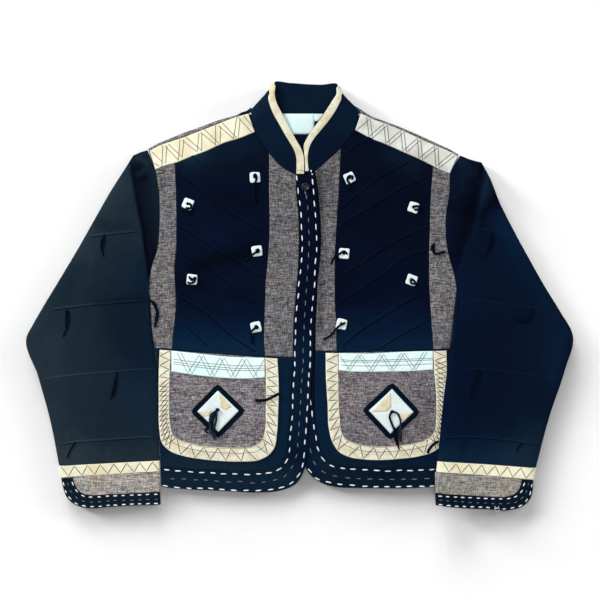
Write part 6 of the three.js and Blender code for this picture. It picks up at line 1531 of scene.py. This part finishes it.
R_MID = [16.4, -239.9, 22.5, -258.5, 36.4, -272.4, 54.2, -278.6, 74.4, -281.7, 91.5, -282.5, 108.5, -283.6, 125.5, -284, 142.6, -284, 160.4, -284, 177.5, -283.3, 196.8, -282.5]
R_OUT = [15.2, -270.9, 27.1, -283.3, 44.2, -288.4, 62, -291.5, 81.4, -293, 100.8, -294.6, 117.8, -295.4, 134.8, -295.5, 152.7, -295.4, 169.7, -294.7, 189.1, -294.6, 204.6, -294.4]
pair = lambda flat: [[flat[i], flat[i + 1]] for i in range(0, len(flat), 2)]
stitches("stitches_band_left", [pair(L_IN), pair(L_OUT)], "edge_band_left", STITCH, 8.8, 2.0, 1.0, seed=11, own="edge_band_left")
stitches("stitches_band_left_grey", [pair(L_MID)], "edge_band_left", STITCH_DIM, 7.6, 1.5, 0.7, seed=12, own="edge_band_left")
stitches("stitches_band_right", [pair(R_IN), pair(R_OUT)], "edge_band_right", STITCH, 8.8, 2.0, 1.0, seed=13, own="edge_band_right")
stitches("stitches_band_right_grey", [pair(R_MID)], "edge_band_right", STITCH_DIM, 7.8, 1.5, 0.7, seed=14, own="edge_band_right")
stitches("stitch_right_top", [[[17.4, 194.8], [19.2, 187.9]]], "edge_band_right", STITCH, 5.0, 2.0, 1.0, seed=15, own="edge_band_right")

# the cuffs' rows
CUFF_IN = {"left": [[-352.5, -284], [-351.2, -293.3], [-345, -302.8], [-336.4, -309], [-325.5, -311.2], [-294.5, -309.6], [-255.8, -308.1], [-217, -306.5]],
           "right": [[348.1, -285.6], [346.3, -295.7], [340.4, -305.6], [330.2, -312.1], [316.2, -314], [286.8, -313.3], [251.1, -311.2], [210.8, -308.1]]}
CUFF_MID = {"left": [[-360.4, -284.8], [-358.1, -295.7], [-350.9, -307.3], [-341, -315.8], [-328.6, -318.6], [-294.5, -316.7], [-255.8, -315.8], [-217, -314.3]],
            "right": [[354.3, -285.6], [352.5, -298.8], [345.7, -310.5], [333.2, -319.5], [317.8, -321.1], [286.8, -320.5], [251.1, -318], [210.8, -314.3]]}
CUFF_OUT = {"left": [[-367.7, -284.8], [-364.6, -298], [-357.1, -311.9], [-344.9, -322], [-330.2, -325.4], [-294.5, -323.9], [-255.8, -322], [-217, -320.5]],
            "right": [[359.6, -287.1], [358.1, -301.1], [352.5, -314.3], [341.6, -324.5], [325.5, -328.5], [286.8, -327], [251.1, -325.1], [210.8, -320.8]]}
for hand, dir in HANDS:
    node = f"cuff_edge_{hand}"
    pitch = 8.0 * 1.55 if hand == "left" else 7.6 * 1.55
    stitches(f"stitches_cuff_{hand}", [paced(CUFF_IN[hand], pitch, jitter=0.5, seed=21), paced(CUFF_OUT[hand], pitch, jitter=0.5, seed=22)], node, STITCH, 5.8, 1.9, 0.9, seed=23, own=node)
    stitches(f"stitches_cuff_{hand}_grey", [paced(CUFF_MID[hand], pitch, jitter=0.6, seed=24)], node, STITCH_DIM, 5.2, 1.3, 0.6, seed=25, own=node)

# the left shoulder's doubled zigzag: each row is one straight run of thread, from x, y to x, y
SHOULDER_STITCH = [
    (-212.7, 234.4, -214.4, 200), (-206.3, 233.5, -208.3, 206.8), (-186, 243.1, -188.6, 212.1), (-180, 243.1, -182.6, 216.3),
    (-156.7, 253.3, -159.3, 225), (-152.4, 253.3, -152.4, 226.7), (-130.8, 266.4, -130.8, 234.4), (-123.1, 263.7, -124, 237.8),
    (-98.1, 277.5, -102.9, 244.8), (-93, 274.1, -95.6, 246.5), (-229.9, 224.1, -211.9, 206.8), (-226.3, 206.5, -216.2, 200.3),
    (-209.2, 232.7, -188.6, 211.2), (-204.1, 236.1, -182.6, 215.5), (-181.7, 241.3, -160.1, 224.1), (-176.5, 246.5, -152.4, 225.8),
    (-154.1, 254.3, -130, 234.4), (-149, 259.4, -124.9, 236.1), (-126.6, 264.5, -102.5, 243.9), (-120.6, 268.8, -98.1, 245.6),
    (-96.4, 278.3, -75.8, 255.1), (-87, 280, -70.7, 259.4),
]

# zigzags on the cuffs' cream bands, the pockets' borders and mouths, and the shoulders
for hand, dir in HANDS:
    C = CUFF[hand]["cream"]
    a = [[C["ox"][0], C["oy"][0] - 0.6], [C["ix"][0], C["iy"][0] - 0.6]]
    b = [[C["ox"][1], C["oy"][1] + 0.6], [C["ix"][1], C["iy"][1] + 0.6]]
    ribbon(f"zigzag_cuff_{hand}", [zigzag(a, b, 13.0 * 1.55, 3.0, 0.04, seed=31)], f"cuff_cream_{hand}", ZIG, own=f"cuff_cream_{hand}")
    P = POCKET[hand]
    n = len(P["ix"])
    inner = [[P["ix"][i], P["iy"][i]] for i in range(n)]
    outer = [[P["ox"][i], P["oy"][i]] for i in range(n)]
    side, foot = (0.0, 0.345), (0.345, 0.655)
    ends = (0.655, 1.0)
    legs = [zigzag(inner, outer, 9.5 * 1.55, 1.0, 0.07, seed=32, jitter=0.9, reach=r) for r in (side, ends)]
    for r, cut in ((side, 0.34 if hand == "left" else 0.12),):
        crossed = zigzag(outer, inner, 9.5 * 1.55, 1.0, 0.07, seed=32, jitter=0.9, reach=r)
        legs += [crossed[int(len(crossed) * cut): int(len(crossed) * (1 if r == side else 0.55))]]
    legs += [zigzag(inner, outer, 14.4 * 1.55, 3.0, 0.07, seed=34, jitter=1.2, reach=foot)]
    lines = [[[lerp(inner[i][0], outer[i][0], f), lerp(inner[i][1], outer[i][1], f)] for i in range(4, n - 4)] for f in (0.06, 0.40)]
    ribbon(f"zigzag_pocket_{hand}", legs, f"pocket_border_{hand}", ZIG, 1.15, own=f"pocket_border_{hand}")
    ribbon(f"line_pocket_{hand}", lines, f"pocket_border_{hand}", ZIG_BROWN, 0.7, 0.25, own=f"pocket_border_{hand}")
    Q = POCKET_TOP[hand]
    k = len(Q["x"])
    top = [[Q["x"][i], Q["top"][i] - 0.8] for i in range(k)]
    bot = [[Q["x"][i], Q["bottom"][i] + 0.8] for i in range(k)]
    legs = [zigzag(top, bot, 21.8 * 1.55, first, 0.03, seed=35, jitter=0.8) for first in (((9.0, 15.4) if hand == "left" else (10.0, 15.0)))]
    for f in ((0.40, 0.52, 0.62) if hand == "left" else (0.38, 0.47, 0.68)):
        legs.append([[Q["x"][i], lerp(Q["top"][i], Q["bottom"][i], f)] for i in range(k)])
    ribbon(f"zigzag_mouth_{hand}", legs, f"pocket_top_{hand}", ZIG_BLUE, 0.85, own=f"pocket_top_{hand}")
    S, Tp = SHOULDER[hand], TOP[hand]
    m = len(S["x"])
    a = [[S["x"][i], S["y"][i] - 0.6] for i in range(m)]
    b = [[Tp["x"][i], Tp["y"][i] + 0.6] for i in range(m)]
    if hand == "left":
        legs = [[[x0, y0], [x1, y1]] for x0, y0, x1, y1 in SHOULDER_STITCH]
    else:
        legs = [zigzag(a, b, 18.4 * 1.55, first, 0.03, seed=38, jitter=0.8) for first in (5.0, 11.0)]
    ribbon(f"zigzag_shoulder_{hand}", legs, f"shoulder_band_{hand}", ZIG_BROWN, 1.0, own=f"shoulder_band_{hand}")

# fine stitching across one end of the binding
ribbon("stitch_binding_end", [[[-5.3, 194.1], [0.6, 195.1], [6.5, 193.8]]], "collar_binding", ZIG, 0.7, own="collar_binding")

# thread on the button and its buttonhole's bar
stitches("button_thread", [[[BUTTON["x"] - 1.3, BUTTON["y"] - 1.3], [BUTTON["x"] + 1.3, BUTTON["y"] + 1.3]]], "edge_band_left", SEAM_THREAD, 3.4, 0.9, 0.7, seed=41, own="edge_band_left").location.z += 0.0025
stitches("buttonhole_bar", [[[8.1, 161], [8.7, 159.4]]], "edge_band_left", STITCH_DIM, 2.6, 2.2, 0.9, seed=42, own="edge_band_left")

# a loose loop of white thread that hangs out under the right cuff
ribbon("thread_cuff_right", [[[302.2, -325.1], [302.2, -330.7], [304.7, -334.4], [307.8, -333.5], [308.8, -329.5], [307.2, -325.1]]], "cuff_edge_right", STITCH, 0.8, 0.5, own="cuff_edge_right", piece=1.5, level=3.4)


# ------------------------------------------------------------------ tucks: narrow folds of cloth, steep on one side
def tuck(name, paths, on, material, height=0.9, width=5.5, own=None, steep=-1, lighter=0.0):
    """Each fold rises at once from its foot and falls away slowly; steep=-1 has its foot on the lower side."""
    V, F = [], []
    count = 0
    prof = ((-0.25, -0.35), (0.0, 0.72), (0.5, 1.0), (1.4, 0.92), (width * 0.45, 0.55), (width * 0.72, 0.18), (width, -0.04))
    for path in paths:
        c = refine(np.array([[p[0], p[1], 0.0] for p in path])[:, None, :], 0, 3.0, edge=())[:, 0]
        s = np.concatenate([[0], np.cumsum(np.linalg.norm(np.diff(c, axis=0), axis=1))])
        t = np.gradient(c[:, :2], axis=0)
        t /= np.maximum(np.linalg.norm(t, axis=1, keepdims=True), 1e-6)
        nrm = np.stack([-t[:, 1], t[:, 0]], -1)
        if nrm[:, 1].mean() * -steep < 0:
            nrm = -nrm
        m = len(c)
        for i in range(m):
            k = float(smooth(s[i] / 14.0) * smooth((s[-1] - s[i]) / 14.0))
            for d, h in prof:
                x, y = c[i, 0] + nrm[i, 0] * d * (0.3 + 0.7 * k), c[i, 1] + nrm[i, 1] * d * (0.3 + 0.7 * k)
                V.append([x, y, drop(on, x, y) + (h * height * k if h > 0 else h * 0.6)])
            V.append([c[i, 0] + nrm[i, 0] * width * 0.4, c[i, 1] + nrm[i, 1] * width * 0.4, drop(on, c[i, 0], c[i, 1]) - 0.5])
        q = len(prof) + 1
        F += [[count + v for v in f] for f in grid_faces(m, q, True).tolist()]
        F += [[count + j for j in range(q)], [count + (m - 1) * q + j for j in range(q)][::-1]]
        count += m * q
    obj = new_object(name, V, F, material)
    bm_clean(obj)
    look = TONES_AND_PAINTED_SHADE.get(own, PLAIN_LOOK)
    # lighter raises the tuck's tone over its piece's: a painted highlight along the fold
    paint(obj, (look[0] + lighter,) + tuple(look[1:]))
    if own:
        goes_with(own, obj)
    return obj


def painted_shade_line(name, rows, on, own, tone=0.0, shift=-0.75):
    """Painted shadow: a dark line under a tuck: rows are (width, path)."""
    for k, w in enumerate(sorted({r[0] for r in rows})):
        legs = [[[x, y + shift] for x, y in paced(path, 3.0)] for width, path in rows if width == w]
        obj = ribbon(f"{name}_{k}", legs, on, PAINTED_SHADE_CLOTH, w, 0.16, own=own, piece=4.0)
        paint(obj, (tone, 0.3, (), ()))


def tucked(name, rows, on, material, height, width, own, lighter=0.0, **more):
    tuck(name, [path for _, path in rows], on, material, height, width, own, lighter=lighter, **more)
    painted_shade_line(name + "_line", [r for r in rows if r[0] > 0], on, own)


tucked("tucks_chest_left", [
    (0.8, [[-170.5, 218.9], [-139.5, 198.8], [-111.6, 180.2]]), (1.7, [[-192.2, 194.1], [-165.8, 174], [-131.8, 145.3], [-100.8, 125.9], [-58.9, 101.1]]),
    (1.7, [[-190.7, 108.9], [-165.8, 96.5], [-142.6, 79.4], [-108.5, 59.3], [-58.9, 28.3]]), (1.7, [[-190.7, 71.7], [-173.6, 60.8], [-116.2, 25.2], [-77.5, -7.4], [-62, -15.1]]),
    (2.0, [[-190.7, 0.4], [-165.8, -13.6], [-142.6, -29.1], [-105.4, -61.6], [-68.2, -86.4]]), (1.3, [[-190.7, -36.8], [-165.8, -55.4], [-142.6, -77.1]])],
    "chest_panel_left", INDIGO, 0.5, 5.5, own="chest_panel_left", lighter=0.02)
tucked("tucks_chest_right", [
    (0.8, [[65.1, 212.7], [85.2, 231.3], [116.2, 246.8]]), (2.0, [[62, 135.2], [96.1, 161.6], [127.1, 184.8], [170.5, 209.6]]), (1.6, [[57.4, 102.7], [88.4, 124.4], [116.2, 141.4], [162.8, 169.3], [196.8, 184.8]]),
    (1.7, [[62, 29.8], [100.8, 53.1], [127.1, 71.7], [170.5, 94.9], [200, 107.3]]), (1.6, [[57.4, -13.6], [93, 9.7], [127.1, 32.9], [170.5, 62.4], [200, 71.7]]),
    (2.0, [[65.1, -77.1], [96.1, -52.3], [127.1, -32.2], [165.8, -8.9], [193.8, 6.6]]), (1.3, [[116.2, -84.9], [155, -61.6], [201.5, -35.3]])],
    "chest_panel_right", INDIGO, 0.5, 5.5, own="chest_panel_right", lighter=0.02)
tucked("tucks_sleeve_left", [
    (0.9, [[-328.6, 91.8], [-286.8, 96.5], [-249.6, 100.5]]), (0.9, [[-387.5, -21.3], [-310, -12.8], [-237.2, -7.4]]), (0, [[-403, -129.8], [-341, -122.1], [-279, -117.4], [-226.3, -112.8]]), (0.8, [[-372, -229.6], [-341, -225.9], [-294.5, -222.8], [-223.2, -218.2]])],
    "sleeve_left", NAVY_LEFT, 0.5, 3.4, own="sleeve_left", lighter=0.12)
tucked("tucks_sleeve_right", [
    (0, [[263.5, 103.3], [300.7, 99.6], [334.8, 90.9]]),     (0, [[251.1, -4.3], [317.8, -13.6], [379.8, -21.3]]), (0, [[235.6, -112.8], [279, -114.3], [341, -120.5], [399.9, -129.8]]), (0.8, [[223.2, -218.2], [294.5, -220.5], [372, -230.6]])],
    "sleeve_right", NAVY_RIGHT, 0.45, 3.2, own="sleeve_right", lighter=0.08)

# the shade under the fold at each sleeve's head, and the short thread ends above the cuffs
painted_shade_line("shade_head_left", [(1.8, [[-258.2, 192.6], [-251.1, 149.2], [-241.8, 102.7], [-235.6, 59.3]])], "sleeve_left", "sleeve_left", 0.04, 0.0)
painted_shade_line("shade_head_right", [(1.3, [[283.7, 186.4], [273.7, 149.2], [265.1, 115.1], [255.8, 87.2], [249.6, 59.3]])], "sleeve_right", "sleeve_right", 0.05, 0.0)
for name, path, on in (("left", [[-347.2, -225.3], [-354.9, -236.8], [-360.5, -250.7]], "sleeve_left"), ("right", [[343.5, -227.5], [338.8, -233.7], [334.8, -239.9]], "sleeve_right")):
    goes_with(on, strand(f"yarn_end_{name}", path, [on], 1.1, YARN, lift=0.05)[0])

for node, (name, w, l, area, rests) in FLAT.items():
    w, l = math.ceil(w * 1.002) * MM, math.ceil(l * 1.002) * MM
    area = min(area * 1e-6, w * l)
    if min(w, l) < 0.01:
        w, l = max(w, 0.0102), max(l, 0.0102)
    area = max(area, 0.301 * w * l)
    print("SHEET", node, round(w * 1000), round(l * 1000), round(area * 1e4, 1))

# ------------------------------------------------------------------ floor, light and camera
floor_mat = Mat("floor_paper", 0.9, 0.05)
floor_mat.colour(floor_mat.ramp(floor_mat.noise(2.0, 2.0), (0.3, (0.93, 0.93, 0.93, 1)), (0.7, (0.96, 0.96, 0.96, 1))))
mesh = bpy.data.meshes.new("floor")
mesh.from_pydata([(-12, -12, -0.0006), (12, -12, -0.0006), (12, 12, -0.0006), (-12, 12, -0.0006)], [], [[0, 1, 2, 3]])
mesh.materials.append(floor_mat.m)
floor = bpy.data.objects.new("floor", mesh)
bpy.context.scene.collection.objects.link(floor)

scene = bpy.context.scene
scene.view_settings.view_transform = "Standard"
scene.view_settings.look = "None"
world = bpy.data.worlds.new("soft_white")
scene.world = world
world.use_nodes = True
world.node_tree.nodes["Background"].inputs["Color"].default_value = (1.0, 1.0, 1.0, 1)
world.node_tree.nodes["Background"].inputs["Strength"].default_value = 0.29


def area_light(name, place, target, size, power, tint=(1, 1, 1)):
    light = bpy.data.lights.new(name, "AREA")
    light.shape = "RECTANGLE"
    light.size, light.size_y = size
    light.energy, light.color = power, tint
    obj = bpy.data.objects.new(name, light)
    obj.location = place
    obj.rotation_euler = (Vector(target) - Vector(place)).to_track_quat("-Z", "Y").to_euler()
    scene.collection.objects.link(obj)
    return obj


key = area_light("key_upper_left", (-2.0, 1.9, 1.45), (0, 0, 0), (0.9, 0.9), 74.0)
fill = area_light("fill_right", (2.4, -1.0, 2.6), (0, 0, 0), (2.5, 2.5), 22.0)
top = area_light("top_soft", (-0.4, 0.5, 3.0), (0, 0, 0), (2.0, 2.0), 31.0)
# the jacket's lights leave the paper out, and the paper has its own low suns, so its soft drop shadow
# falls to the right and down while the dark cloth stays dark
on_paper = bpy.data.collections.new("paper_only")
on_paper.objects.link(floor)
off_paper = bpy.data.collections.new("all_but_paper")
off_paper.objects.link(floor)
off_paper.collection_objects[0].light_linking.link_state = "EXCLUDE"
for light in (key, fill, top):
    light.light_linking.receiver_collection = off_paper
# each row: the way the light travels, its elevation in degrees, its share of the paper's brightness
SUNS = [(0.8, -0.6, 8.0, 0.06), (0.88, -0.47, 4.6, 0.14), (0.85, -0.55, 3.6, 0.08), (0.3, -0.95, 9.0, 0.03), (0.5, -0.87, 4.3, 0.11),
        (0.25, -0.97, 4.3, 0.12), (0.0, -1.0, 4.3, 0.08), (-0.7, -0.7, 5.0, 0.05), (-0.95, -0.3, 4.0, 0.09)]
for k, (dx, dy, high, share) in enumerate(SUNS):
    lamp = bpy.data.lights.new(f"paper_sun_{k}", "SUN")
    lamp.angle = math.radians(min(high * 2.1, 14.0))
    lamp.energy = share * math.pi / math.sin(math.radians(high)) / 0.94
    obj = bpy.data.objects.new(f"paper_sun_{k}", lamp)
    c = math.cos(math.radians(high))
    obj.rotation_euler = Vector((dx * c, dy * c, -math.sin(math.radians(high)))).to_track_quat("-Z", "Y").to_euler()
    scene.collection.objects.link(obj)
    obj.light_linking.receiver_collection = on_paper

camera_data = bpy.data.cameras.new("camera")
camera_data.sensor_width = 36.0
camera_data.lens = 65.0
camera = bpy.data.objects.new("camera", camera_data)
camera.location = (0.0, -0.0058, 0.93 * 65.0 / 36.0 + 0.003)
camera.rotation_euler = (0, 0, 0)
scene.collection.objects.link(camera)
scene.camera = camera
